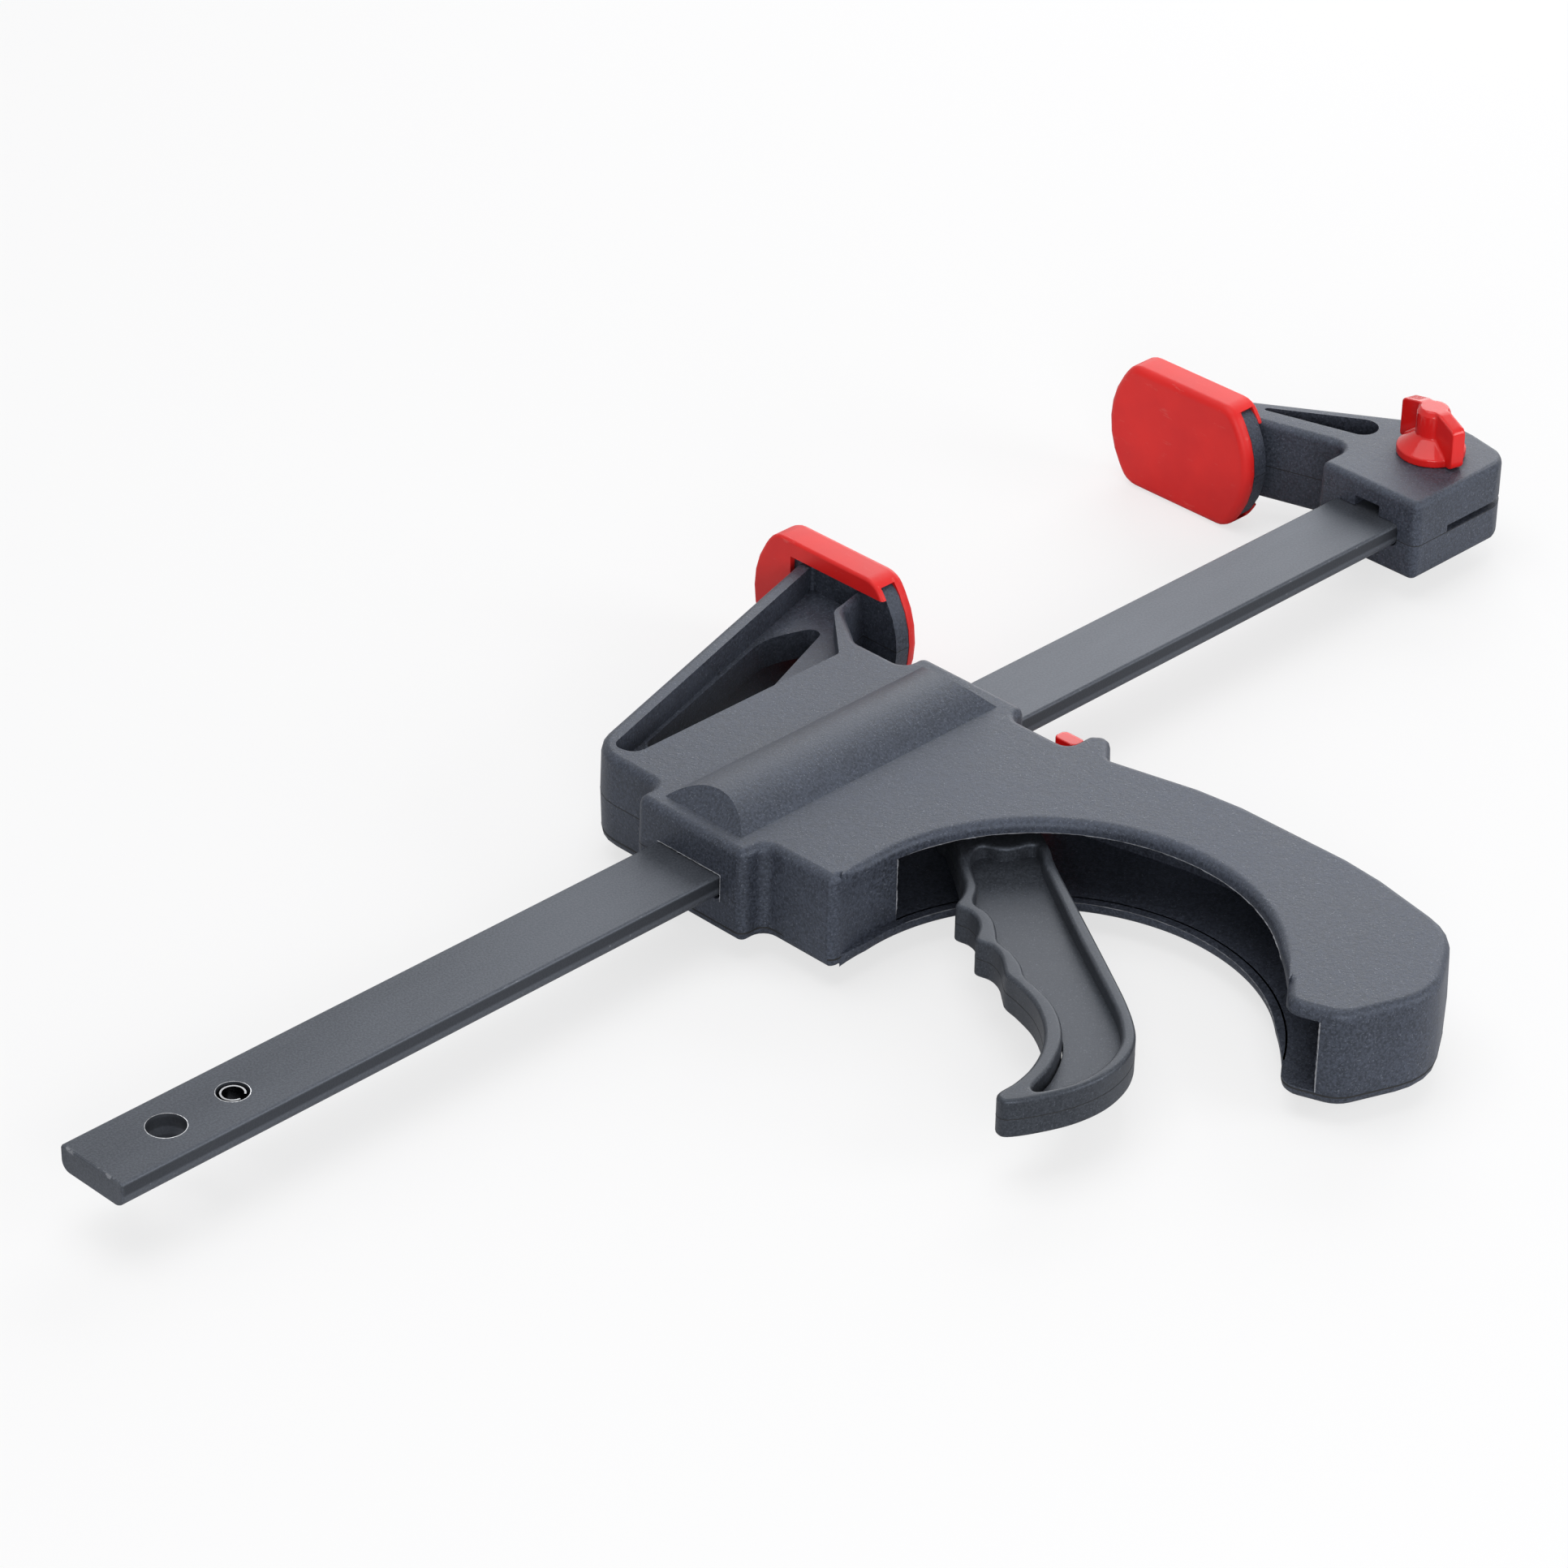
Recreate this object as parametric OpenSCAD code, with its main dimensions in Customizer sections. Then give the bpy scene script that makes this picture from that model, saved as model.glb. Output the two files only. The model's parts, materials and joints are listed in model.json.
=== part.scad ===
// Quick release bar clamp, lying on its side. All lengths are in millimetres.
// The origin is on the axis of the hole at the bar's free end, at the bar's mid-thickness.
// +X runs along the bar to the fixed jaw, +Y towards the pads, -Y along the handle, +Z up.

/* [Bar] */
// Length of the steel bar
bar_l = 420; // [400:1:460]
// Width of the bar
bar_w = 19; // [18:0.25:20]
// Thickness of the bar
bar_t = 6; // [5.5:0.1:6.5]
// Rounding of the bar's long edges
bar_edge_r = 2; // [1:0.1:2.4]
// Rounding of the bar's end corners, seen from above
bar_end_r = 1.3; // [1:0.1:4]
// Diameter of the hole near each end of the bar
end_hole_d = 8.4; // [8.2:0.1:9]
// Distance from the bar's free end to the axis of its hole
end_hole_inset = 19; // [16:0.5:22]
// Distance from the bar's other end to the axis of the screw's hole
screw_hole_inset = 13; // [12:0.2:15]
// Distance from the free end's hole to the stop pin
stop_pin_pitch = 17; // [14:0.5:24]
// Outer diameter of the rolled stop pin
stop_pin_d = 6; // [5:0.1:6.4]
// Sheet thickness of the rolled stop pin
stop_pin_sheet = 1.1; // [0.8:0.1:1.3]
// Length of the stop pin
stop_pin_l = 7.5; // [6.5:0.1:8]
// Depth of the stop pin's top below the bar's upper face
stop_pin_sink = 1; // [0.5:0.1:1.5]

/* [Pads] */
// Free opening between the two pads, as drawn
opening = 113; // [60:1:150]
// Distance from the bar's centre line to the pads' centres
throat = 55.8; // [54:0.2:58]
// Diameter of a pad's round ends
pad_d = 45; // [44:0.2:47]
// Height of a pad between its two flats
pad_h = 32.6; // [32.2:0.2:34]
// Thickness of a pad's face
pad_face_t = 3.1; // [2.4:0.1:4]
// Thickness of a pad's side walls
pad_wall_t = 1.6; // [1.2:0.1:2]
// Thickness of the lip that grips behind the jaw's plate
pad_lip_t = 1.4; // [1:0.1:2]
// Rounding of a pad's front edge
pad_edge_r = 2; // [0.6:0.1:2.4]
// Rounding of a pad's back edge
pad_back_r = 0.8; // [0.3:0.1:1]
// Blend between a pad's round ends and its flats
pad_blend = 5.5; // [3:0.1:6]
// Thickness of the plate at the end of each jaw
plate_t = 4; // [3:0.1:5]

/* [Fixed jaw] */
// Length of the jaw's block along the bar
jaw_l = 39.4; // [38:0.2:42]
// Width of the block across the bar
jaw_w = 30.6; // [29:0.2:32]
// Height of the block
jaw_t = 20.7; // [20.2:0.1:22]
// Rounding of the moulding's edges
jaw_edge_r = 1.8; // [1:0.1:2]
// Distance from the block's front face back to the screw
screw_setback = 23; // [22:0.2:24]
// Distance that the pad's face stands in front of the block
pad_lead = 4.6; // [4.4:0.1:5]
// Height of the saw cut that lets the block pinch the bar
kerf_t = 1.6; // [1:0.1:2]
// Width of the groove that lets the stop pin pass
pin_groove_w = 7.4; // [7:0.1:8]
// Depth of the web below each face of the arm's pocket
jaw_pocket_depth = 8; // [4:0.5:9]

/* [Clamp screw] */
// Diameter of the screw
screw_d = 7.9; // [7.5:0.1:8]
// Width of the nut across its flats
nut_af = 13; // [12.5:0.1:13.5]
// Thickness of the nut
nut_t = 6; // [5:0.1:6.2]
// Diameter of the knob's skirt
knob_d = 16.6; // [16:0.2:17.6]
// Height of the knob above the jaw
knob_h = 12.3; // [11.5:0.1:13.5]
// Span of the knob's two wings
wing_span = 21; // [20:0.2:23]
// Thickness of a wing
wing_t = 3.6; // [3:0.1:4.2]

/* [Housing] */
// Length of the housing between its two end faces
housing_l = 87.7; // [86:0.1:90]
// Height of the housing, seen lying down
housing_t = 23; // [22.8:0.1:24]
// Thickness of the moulding's walls
housing_wall = 3; // [2.6:0.1:3.2]
// Rounding of the housing's outer edges
housing_edge_r = 2; // [1:0.1:2.2]
// Amount by which the side walls lean in over half the height
draft = 0.25; // [0:0.05:0.3]
// Width of the two end bosses that guide the bar
boss_w = 33; // [32:0.2:34]
// Length of the rear boss
rear_boss_l = 6.6; // [6:0.1:7.4]
// Length of the front boss
front_boss_l = 5.1; // [4.6:0.1:5.6]
// Distance from the bar's centre line to the lowest point of the handle
handle_reach = 150; // [146:0.5:154]
// Radius of the hand opening's rim
rim_r = 49.3; // [48.5:0.1:50]
// Radius of the round bulge over the bar
bulge_r = 16.3; // [15.8:0.1:16.8]
// Distance from the front boss's face to the moving pad's face
face_lead = 17.4; // [17:0.1:18]
// Thickness of the web between the arm's two ribs
web_t = 7; // [5.5:0.5:8]

/* [Trigger] */
// Thickness of the trigger
trigger_t = 9.2; // [8.4:0.1:10]
// Rounding of the trigger's edges
trigger_edge_r = 1; // [0.5:0.1:1.2]
// Depth of the sunk panel on each face
trigger_panel_depth = 2; // [1:0.1:2.5]
// Thickness left between the two pockets above the panels
trigger_web_t = 2.4; // [2:0.1:3]
// Diameter of the pivot pin
pivot_d = 5; // [4:0.1:6]
// Radius of the lobe that pushes the drive plates
lobe_r = 3.5; // [3:0.1:3.8]
// Distance from the pivot to the lobe's centre
lobe_arm = 16; // [15.5:0.1:16.4]
// Swing of the trigger, in degrees
trigger_swing = 30; // [26:1:31]

/* [Drive and brake] */
// Thickness of one drive plate
drive_t = 2.5; // [2:0.1:2.8]
// Width of the steel plates
plate_w = 15; // [14:0.2:16]
// Wire diameter of the drive spring
drive_wire = 1.8; // [1.4:0.1:2]
// Mean radius of the drive spring
drive_coil_r = 11.3; // [11.2:0.05:11.4]
// Thickness of the brake plate
brake_t = 3; // [2.5:0.1:3.2]
// Lean of the brake plate at rest, in degrees
brake_lean = 8; // [7:0.5:8]
// Wire diameter of the brake spring
brake_wire = 0.9; // [0.7:0.1:1]
// Mean radius of the brake spring
brake_coil_r = 2.8; // [2.4:0.1:3]

/* [Hidden] */

$fn = 64;

// Overrun of every cut past the face that it opens
cut = 1;
// Gap round the bar where a moulding slides on it
slide_gap = 0.3;
// Gap round the bar in a steel plate's slot
slot_gap = 0.05;
// Radial gap of a turning fit
turn_gap = 0.05;
// Radial gap of a pin or nut that is pressed home
press_gap = 0.02;
// Gap between a pad and the plate that it slips over
pad_gap = 0.1;
// Gap between moving faces that don't touch
free_gap = 0.3;
// Sides of a rounded outline's corner, one for every this many degrees
corner_step = 15;
// Least rounding that is left of a corner when its outline moves in
least_r = 0.05;
// Turn that brings a cut from one face to the other
half_turn = 180;
// Two points of an outline nearer than this are one
same_point = 0.001;

// Places along the bar
bar_x0 = -end_hole_inset;
screw_x = bar_x0 + bar_l - screw_hole_inset;
jaw_x = screw_x - screw_setback;
fixed_face_x = jaw_x - pad_lead;
moving_face_x = fixed_face_x - opening;
housing_x = moving_face_x - face_lead - housing_l;
pad_t = pad_face_t + plate_t + 2 * pad_gap + pad_lip_t;

// Corner-rounded outlines. A corner is [x, y, radius], and the corners run anticlockwise.
function unit(v) = v / norm(v);
function leftward(v) = [-v.y, v.x];
function cross2(a, b) = a.x * b.y - a.y * b.x;
function at_corner(c, i) = [c[(i + len(c)) % len(c)].x, c[(i + len(c)) % len(c)].y];
function side(c, i) = unit(at_corner(c, i + 1) - at_corner(c, i));
function moved_corner(c, i, inset) =
    let (u = side(c, i - 1), v = side(c, i),
        p = at_corner(c, i) + leftward(u) * inset,
        q = at_corner(c, i) + leftward(v) * inset)
    abs(cross2(u, v)) < 0.001 ? p : p + u * cross2(q - p, v) / cross2(u, v);
function corner_turn(c, i) = atan2(cross2(side(c, i - 1), side(c, i)), side(c, i - 1) * side(c, i));
function turned(v, a) = [v.x * cos(a) - v.y * sin(a), v.x * sin(a) + v.y * cos(a)];
function corner_arc(c, i, inset) =
    let (a = corner_turn(c, i), s = sign(a), r = max(c[(i + len(c)) % len(c)][2] - s * inset, least_r),
        n = max(1, ceil(abs(a) / corner_step)), u = side(c, i - 1),
        start = moved_corner(c, i, inset) - u * r * tan(abs(a) / 2),
        middle = start + leftward(u) * r * s)
    [for (k = [0:n]) middle + turned(start - middle, a * k / n)];
function outline(c, inset = 0) =
    let (p = [for (i = [0:len(c) - 1]) each corner_arc(c, i, inset)])
    [for (i = [0:len(p) - 1]) if (norm(p[(i + 1) % len(p)] - p[i]) > same_point) p[i]];

// Solid between stacked outlines that all have the same number of points
module stacked(levels) {
    n = len(levels[0][1]);
    m = len(levels);
    polyhedron(
        points = [for (lv = levels) for (p = lv[1]) [p.x, p.y, lv[0]]],
        faces = concat(
            [[for (i = [0:n - 1]) i]],
            [[for (i = [n - 1:-1:0]) (m - 1) * n + i]],
            [for (k = [0:m - 2]) for (i = [0:n - 1])
                [k * n + i, (k + 1) * n + i, (k + 1) * n + (i + 1) % n, k * n + (i + 1) % n]]));
}

// Solid between stacked outlines, its two ends trimmed flat. A level is [height, inset].
module trimmed_stack(c, levels) {
    last = len(levels) - 1;
    all = concat([[levels[0][0] - cut, levels[0][1]]], levels, [[levels[last][0] + cut, levels[last][1]]]);
    intersection() {
        stacked([for (h = all) [h[0], outline(c, h[1])]]);
        translate([0, 0, levels[0][0]]) linear_extrude(levels[last][0] - levels[0][0])
            square(trim_span, center = true);
    }
}
// Span of the block that trims a stack, wider than any outline here
trim_span = 2 * bar_l;

// Moulded plate of height t with rounded edges, widest at its parting line
module moulded(c, t, r, lean = 0, low_r = 0) {
    q = low_r == 0 ? r : low_r;
    trimmed_stack(c, concat(
        [for (k = [edge_steps:-1:0]) let (a = 90 * k / edge_steps)
            [-t / 2 + q - q * sin(a), lean + q - q * cos(a)]],
        [[0, 0]],
        [for (k = [0:edge_steps]) let (a = 90 * k / edge_steps)
            [t / 2 - r + r * sin(a), lean + r - r * cos(a)]]));
}
// Steps in the rounding of a moulded edge
edge_steps = 3;

// Cut or wall of height t about mid-height, with a plan outline of rounded corners
module slab(c, t) {
    translate([0, 0, -t / 2]) linear_extrude(t) polygon(outline(c));
}

// Rounded rectangle, w along X and h along Y
function oblong(w, h, r) = [[-w / 2, -h / 2, r], [w / 2, -h / 2, r], [w / 2, h / 2, r], [-w / 2, h / 2, r]];

// Bar section of length l along X, grown by gap on every side
module bar_section(l, gap) {
    rotate([90, 0, 90]) linear_extrude(l)
        polygon(outline(oblong(bar_w + 2 * gap, bar_t + 2 * gap, bar_edge_r)));
}

// Box from corner a to corner b
module span_box(a, b) {
    translate(a) cube(b - a);
}

// One unbroken coil of wire along +X from x = 0 to x = l, its end turns closed up
coil_sides = 6;
coil_rings = 16;
function coil_climb(t, turns, l, wire) =
    let (tight = wire * 1.35, rest = l - wire - 2 * tight)
    t < 1 ? t * tight
        : t > turns - 1 ? l - wire - (turns - t) * tight
        : tight + rest * (t - 1) / (turns - 2);
module coil(l, r, wire, turns) {
    rings = turns * coil_rings;
    points = [for (i = [0:rings])
        let (a = 360 * i / coil_rings, x = wire / 2 + coil_climb(i / coil_rings, turns, l, wire))
        for (k = [0:coil_sides - 1])
            let (b = 360 * k / coil_sides, q = r + wire / 2 * cos(b))
            [x + wire / 2 * sin(b), q * cos(a), q * sin(a)]];
    faces = concat(
        [[for (k = [coil_sides - 1:-1:0]) k]],
        [[for (k = [0:coil_sides - 1]) rings * coil_sides + k]],
        [for (i = [0:rings - 1]) for (k = [0:coil_sides - 1])
            let (j = (k + 1) % coil_sides)
            [i * coil_sides + k, i * coil_sides + j, (i + 1) * coil_sides + j]],
        [for (i = [0:rings - 1]) for (k = [0:coil_sides - 1])
            let (j = (k + 1) % coil_sides)
            [i * coil_sides + k, (i + 1) * coil_sides + j, (i + 1) * coil_sides + k]]);
    polyhedron(points = points, faces = faces);
}

// Steel bar
module bar() {
    color("dimgray") difference() {
        intersection() {
            translate([bar_x0, 0, 0]) bar_section(bar_l, 0);
            translate([bar_x0 + bar_l / 2, 0, 0]) slab(oblong(bar_l, bar_w, bar_end_r), bar_t + cut);
        }
        for (x = [0, screw_x])
            translate([x, 0, -bar_t / 2 - cut]) cylinder(d = end_hole_d, h = bar_t + 2 * cut);
        translate([stop_pin_pitch, 0, -bar_t / 2 - cut])
            cylinder(d = stop_pin_d + 2 * press_gap, h = bar_t + 2 * cut);
        translate([stop_pin_pitch, 0, bar_t / 2 - stop_pin_mouth])
            cylinder(d1 = stop_pin_d + 2 * press_gap, d2 = stop_pin_d + 2 * stop_pin_mouth, h = stop_pin_mouth);
    }
}
// Depth of the chamfer at the stop pin's mouth
stop_pin_mouth = stop_pin_sink * 0.5;
// Split of the rolled pin, as a share of its diameter
split_share = 0.22;

// Rolled stop pin, open towards the jaws
module stop_pin() {
    top = bar_t / 2 - stop_pin_sink;
    color("gray") translate([stop_pin_pitch, 0, top - stop_pin_l]) difference() {
        cylinder(d = stop_pin_d, h = stop_pin_l);
        translate([0, 0, -cut]) cylinder(d = stop_pin_d - 2 * stop_pin_sheet, h = stop_pin_l + 2 * cut);
        translate([0, -stop_pin_d * split_share / 2, -cut])
            cube([stop_pin_d, stop_pin_d * split_share, stop_pin_l + 2 * cut]);
    }
}

// Corners of a pad or plate across the bar: two round ends between flats, their meeting blended
pad_arc = 33;
function pad_corners(d, h, blend) =
    let (r = d / 2, part = 2 * pad_arc / 3, far = r / cos(part / 2),
        u = r * cos(pad_arc) - (h / 2 - r * sin(pad_arc)) * tan(pad_arc),
        end = [for (k = [0:2]) let (a = part * (k + 0.5) - pad_arc) [far * cos(a), far * sin(a), r]])
    concat(end, [[u, h / 2, blend], [-u, h / 2, blend]], [for (p = end) [-p.x, -p.y, p[2]]],
        [[-u, -h / 2, blend], [u, -h / 2, blend]]);

// Plate of a pad's outline, extruded along +X from x = 0
module pad_body(l, d, h, shift = 0) {
    rotate([90, 0, 90]) linear_extrude(l) translate([shift, 0]) polygon(outline(pad_corners(d, h, pad_blend)));
}

// Whole pad, its front edge at x = 0 well rounded and its back edge slightly
module pad_shell() {
    levels = concat(
        [for (k = [0:edge_steps]) let (a = 90 * k / edge_steps)
            [pad_edge_r - pad_edge_r * cos(a), pad_edge_r - pad_edge_r * sin(a)]],
        [for (k = [0:edge_steps]) let (a = 90 * k / edge_steps)
            [pad_t - pad_back_r + pad_back_r * sin(a), pad_back_r - pad_back_r * cos(a)]]);
    rotate([90, 0, 90]) trimmed_stack(pad_corners(pad_d, pad_h, pad_blend), levels);
}
// Plate inside the pad: it lies off centre, so that its edge shows on the bar's side
plate_h = pad_h - 2 * pad_wall_t - 2 * pad_gap;
plate_d = pad_d - pad_wall_t - pad_gap * 2;
plate_shift = -pad_wall_t / 2;
// Depth of the plate's edge that the pad leaves bare, as a share of its diameter
bare_share = 0.3;
// Height of the lip's notch beyond the arm
notch_gap = 0.7;

// Slip-on pad, its face at x = 0 looking towards -X, centred on the bar's line
module slip_pad(arm_t, arm_top) {
    color("crimson") difference() {
        pad_shell();
        translate([pad_face_t, 0, 0]) pad_body(plate_t + 2 * pad_gap, plate_d + 2 * pad_gap,
            plate_h + 2 * pad_gap, plate_shift);
        span_box([pad_face_t, -pad_d, -plate_h / 2 - pad_gap],
            [pad_face_t + plate_t + 2 * pad_gap, -pad_d * bare_share, plate_h / 2 + pad_gap]);
        span_box([pad_face_t + plate_t, -pad_d, -arm_t / 2 - notch_gap],
            [pad_t + cut, arm_top + notch_gap, arm_t / 2 + notch_gap]);
    }
}
module fixed_pad() {
    translate([fixed_face_x, throat, 0]) slip_pad(jaw_t, throat * jaw_tip_share - throat);
}
module moving_pad() {
    translate([moving_face_x, throat, 0]) mirror([1, 0, 0])
        slip_pad(housing_t, throat * arm_tip_share - throat);
}

// Heights where the arms' outer edges reach their plates, as shares of the throat
jaw_tip_share = 1.17;
arm_tip_share = 1.175;
// Plan outline of the fixed jaw: along the bar as shares of the block's length, across it as
// shares of the throat, radii as shares of the block's width
jaw_plate_x = pad_face_t + pad_gap - pad_lead + plate_t / 2;
jaw_corner_r = jaw_edge_r * 1.3;
jaw_outline = [
    [0, -jaw_w / 2, jaw_corner_r],
    [jaw_l * 0.9, -jaw_w / 2, jaw_w * 0.12],
    [jaw_l * 1.007, throat * 0.074, jaw_w * 0.45],
    [jaw_plate_x, throat * jaw_tip_share, jaw_corner_r],
    [jaw_plate_x, throat * 0.94, jaw_corner_r],
    [jaw_l * 0.292, jaw_w / 2, jaw_w * 0.11],
    [0, jaw_w / 2, jaw_corner_r]];
// Pocket in the arm, from its wide end by the block to its narrow end by the plate
jaw_pocket_wide = [jaw_l * 0.53, throat * 0.349, jaw_w * 0.131];
jaw_pocket_thin = [jaw_l * 0.284, throat * 0.735, jaw_w * 0.023];
// Start of the saw cut, as a share of the block's length
kerf_share = 0.3;

// Fixed jaw: block on the bar's end, arm and pad plate in one moulding
module fixed_jaw() {
    color("darkslategray") translate([jaw_x, 0, 0]) difference() {
        union() {
            translate([pad_face_t + pad_gap - pad_lead, throat, 0]) pad_body(plate_t, plate_d, plate_h, plate_shift);
            moulded(jaw_outline, jaw_t, jaw_edge_r, draft);
        }
        translate([-cut, 0, 0]) bar_section(jaw_l * 2, slide_gap / 2);
        span_box([-cut, -pin_groove_w / 2, 0],
            [jaw_l * 2, pin_groove_w / 2, bar_t / 2 + stop_pin_l - bar_t + stop_pin_sink + slide_gap]);
        span_box([jaw_l * kerf_share, -jaw_w, -kerf_t / 2], [jaw_l * 2, 0, kerf_t / 2]);
        for (side_z = [0, 1]) mirror([0, 0, side_z])
            translate([0, 0, jaw_t / 2 - jaw_pocket_depth]) linear_extrude(jaw_t) hull()
                for (p = [jaw_pocket_wide, jaw_pocket_thin]) translate([p.x, p.y]) circle(r = p[2]);
        translate([screw_setback, 0, 0]) {
            cylinder(d = screw_d + 2 * free_gap, h = jaw_t);
            translate([0, 0, -jaw_t]) cylinder(d = screw_d + 2 * free_gap, h = jaw_t);
            translate([0, 0, -jaw_t]) cylinder(d = nut_d + 2 * press_gap, h = jaw_t / 2 + nut_t + nut_sink, $fn = 6);
        }
    }
}
// Nut: distance over its corners and depth of its face below the jaw's underside
nut_d = nut_af / cos(30);
nut_sink = 0.5;

// Captive hexagon nut in the underside of the fixed jaw
module jaw_nut() {
    color("silver") translate([screw_x, 0, -jaw_t / 2 + nut_sink]) difference() {
        cylinder(d = nut_d, h = nut_t, $fn = 6);
        translate([0, 0, -cut]) cylinder(d = screw_d + 2 * turn_gap, h = nut_t + 2 * cut);
    }
}

// Height of the skirt's rim and of its cone, as shares of the knob's height
rim_share = 0.16;
cone_share = 0.44;
// Depth of the screw in the knob's foot, as a share of the knob's height
stud_share = 0.3;
// Diameter of the knob's hub, wider than the screw that is moulded into its foot
hub_d = knob_d * 0.49;
// Screw: steel stud moulded into the knob, its end inside the nut
module clamp_screw() {
    color("silver") translate([screw_x, 0, 0]) {
        translate([0, 0, -jaw_t / 2 + nut_sink]) cylinder(d = screw_d, h = jaw_t - nut_sink + knob_h * stud_share);
    }
}

// Outline of the knob's two wings, seen from the side: shares of the half span and of the height
wing_shares = [[-1, 0.02, 0.12], [-0.66, 0.02, 0.02], [-0.5, 0.3, 0.02], [0.5, 0.3, 0.02],
    [0.66, 0.02, 0.02], [1, 0.02, 0.12], [1, 0.84, 0.15], [0.38, 1, 0.3], [-0.38, 1, 0.3], [-1, 0.84, 0.15]];
// Lean of the wings from the bar's cross direction, in degrees, as they happen to stand
wing_turn = -15;

// Wing knob on top of the fixed jaw
module wing_knob() {
    r = knob_d / 2;
    color("crimson") translate([screw_x, 0, jaw_t / 2]) difference() {
        union() {
            rotate_extrude() polygon([[0, 0], [r, 0], [r, knob_h * rim_share], [hub_d / 2, knob_h * cone_share],
                [hub_d / 2, knob_h * 0.9], [hub_d * 0.4, knob_h], [0, knob_h]]);
            rotate([90, 0, 90 + wing_turn]) translate([0, 0, -wing_t / 2]) linear_extrude(wing_t)
                polygon(outline([for (p = wing_shares)
                    [p.x * wing_span / 2, p.y * knob_h, p[2] * wing_span / 2]]));
        }
        translate([0, 0, -cut]) cylinder(d = screw_d, h = knob_h * stud_share + cut);
    }
}

// Places in the housing, from the rear boss's face and the bar's centre line
front_x = housing_l - front_boss_l;
// Centre of the rim's circle
rim_x = housing_l * 0.251;
rim_y = -boss_w * 1.052 - rim_r;
// Rounding of the rim's edges
rim_edge_r = housing_edge_r * 0.2;
// Handle: outer side from the hand opening's end round the tip, then the thumb rest in boss widths
tip_shares = [
    [0.545, -0.838, 0.005], [0.4675, -0.873, 0.055], [0.519, -0.953, 0.09], [0.752, -1.007, 0.18],
    [0.987, -0.92, 0.2], [1.05, -0.733, 0.6], [1.047, -0.467, 0.6]];
ear_shares = [[0.974, -1.309, 0.014], [1.056, -1.1136, 0.032], [1.018, -0.9968, 0.03]];
tip_outline = concat(
    [for (p = tip_shares) [p.x * housing_l, p.y * handle_reach, p[2] * housing_l]],
    [for (p = ear_shares) [p.x * housing_l, p.y * boss_w, p[2] * housing_l]]);
ear_y = ear_shares[2].y * boss_w;
arm_root_y = throat * 0.54;
arm_plate_x = housing_l + face_lead - pad_face_t - pad_gap - plate_t / 2;
back_y = throat * 0.68;
fillet = housing_edge_r * 1.25;
housing_outline = concat(
    [[0, -boss_w / 2, fillet], [rear_boss_l, -boss_w / 2, fillet],
        [rear_boss_l, rim_y + rim_r * 0.963, fillet]],
    tip_outline,
    [[front_x, ear_y, fillet * 0.8], [front_x, -boss_w / 2, fillet], [housing_l, -boss_w / 2, fillet],
        [housing_l, boss_w * 0.47, fillet], [front_x - front_boss_l * 0.24, boss_w * 0.47, fillet],
        [front_x - front_boss_l * 0.24, arm_root_y, fillet * 1.6],
        [housing_l * 1.02, throat * 0.745, fillet * 2.4], [arm_plate_x, throat * 0.8, fillet],
        [arm_plate_x, throat * arm_tip_share, fillet], [rear_boss_l, back_y, throat * 0.19],
        [rear_boss_l, boss_w / 2, fillet], [0, boss_w / 2, fillet]]);

// Cut of the hand opening, flared where its rim is rounded
module hand_opening() {
    translate([rim_x, rim_y, 0]) {
        cylinder(r = rim_r, h = 2 * housing_t, center = true, $fn = 180);
        for (side_z = [0, half_turn]) rotate([side_z, 0, 0]) rotate_extrude($fn = 180) polygon(concat(
            [[0, housing_t / 2 - rim_edge_r]],
            [for (k = [0:edge_steps]) let (a = 90 * k / edge_steps)
                [rim_r + rim_edge_r - rim_edge_r * cos(a), housing_t / 2 - rim_edge_r + rim_edge_r * sin(a)]],
            [[rim_r + rim_edge_r, housing_t], [0, housing_t]]));
    }
}

// Pocket between the arm's ribs
pocket_y = throat * 0.512;
arm_plate_back = arm_plate_x - plate_t / 2;
// Height of the web's middle over the bar's
web_lift = web_t * 0.25;
pocket_outline = [
    [housing_l * 0.134, pocket_y, fillet * 1.4], [housing_l * 0.846, pocket_y, fillet * 0.6],
    [housing_l * 0.989, throat * 0.765, fillet * 1.4], [arm_plate_back, throat * 0.815, fillet * 0.3],
    [arm_plate_back, throat * 1.088, fillet * 0.3], [housing_l * 0.118, throat * 0.618, fillet]];
// Opening through the web
window_outline = [
    [housing_l * 0.274, throat * 0.556, fillet], [housing_l * 0.627, throat * 0.602, fillet * 8],
    [housing_l * 1.02, throat * 0.832, fillet * 0.88], [housing_l * 0.845, throat * 0.935, fillet * 6],
    [housing_l * 0.251, throat * 0.665, fillet]];

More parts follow.
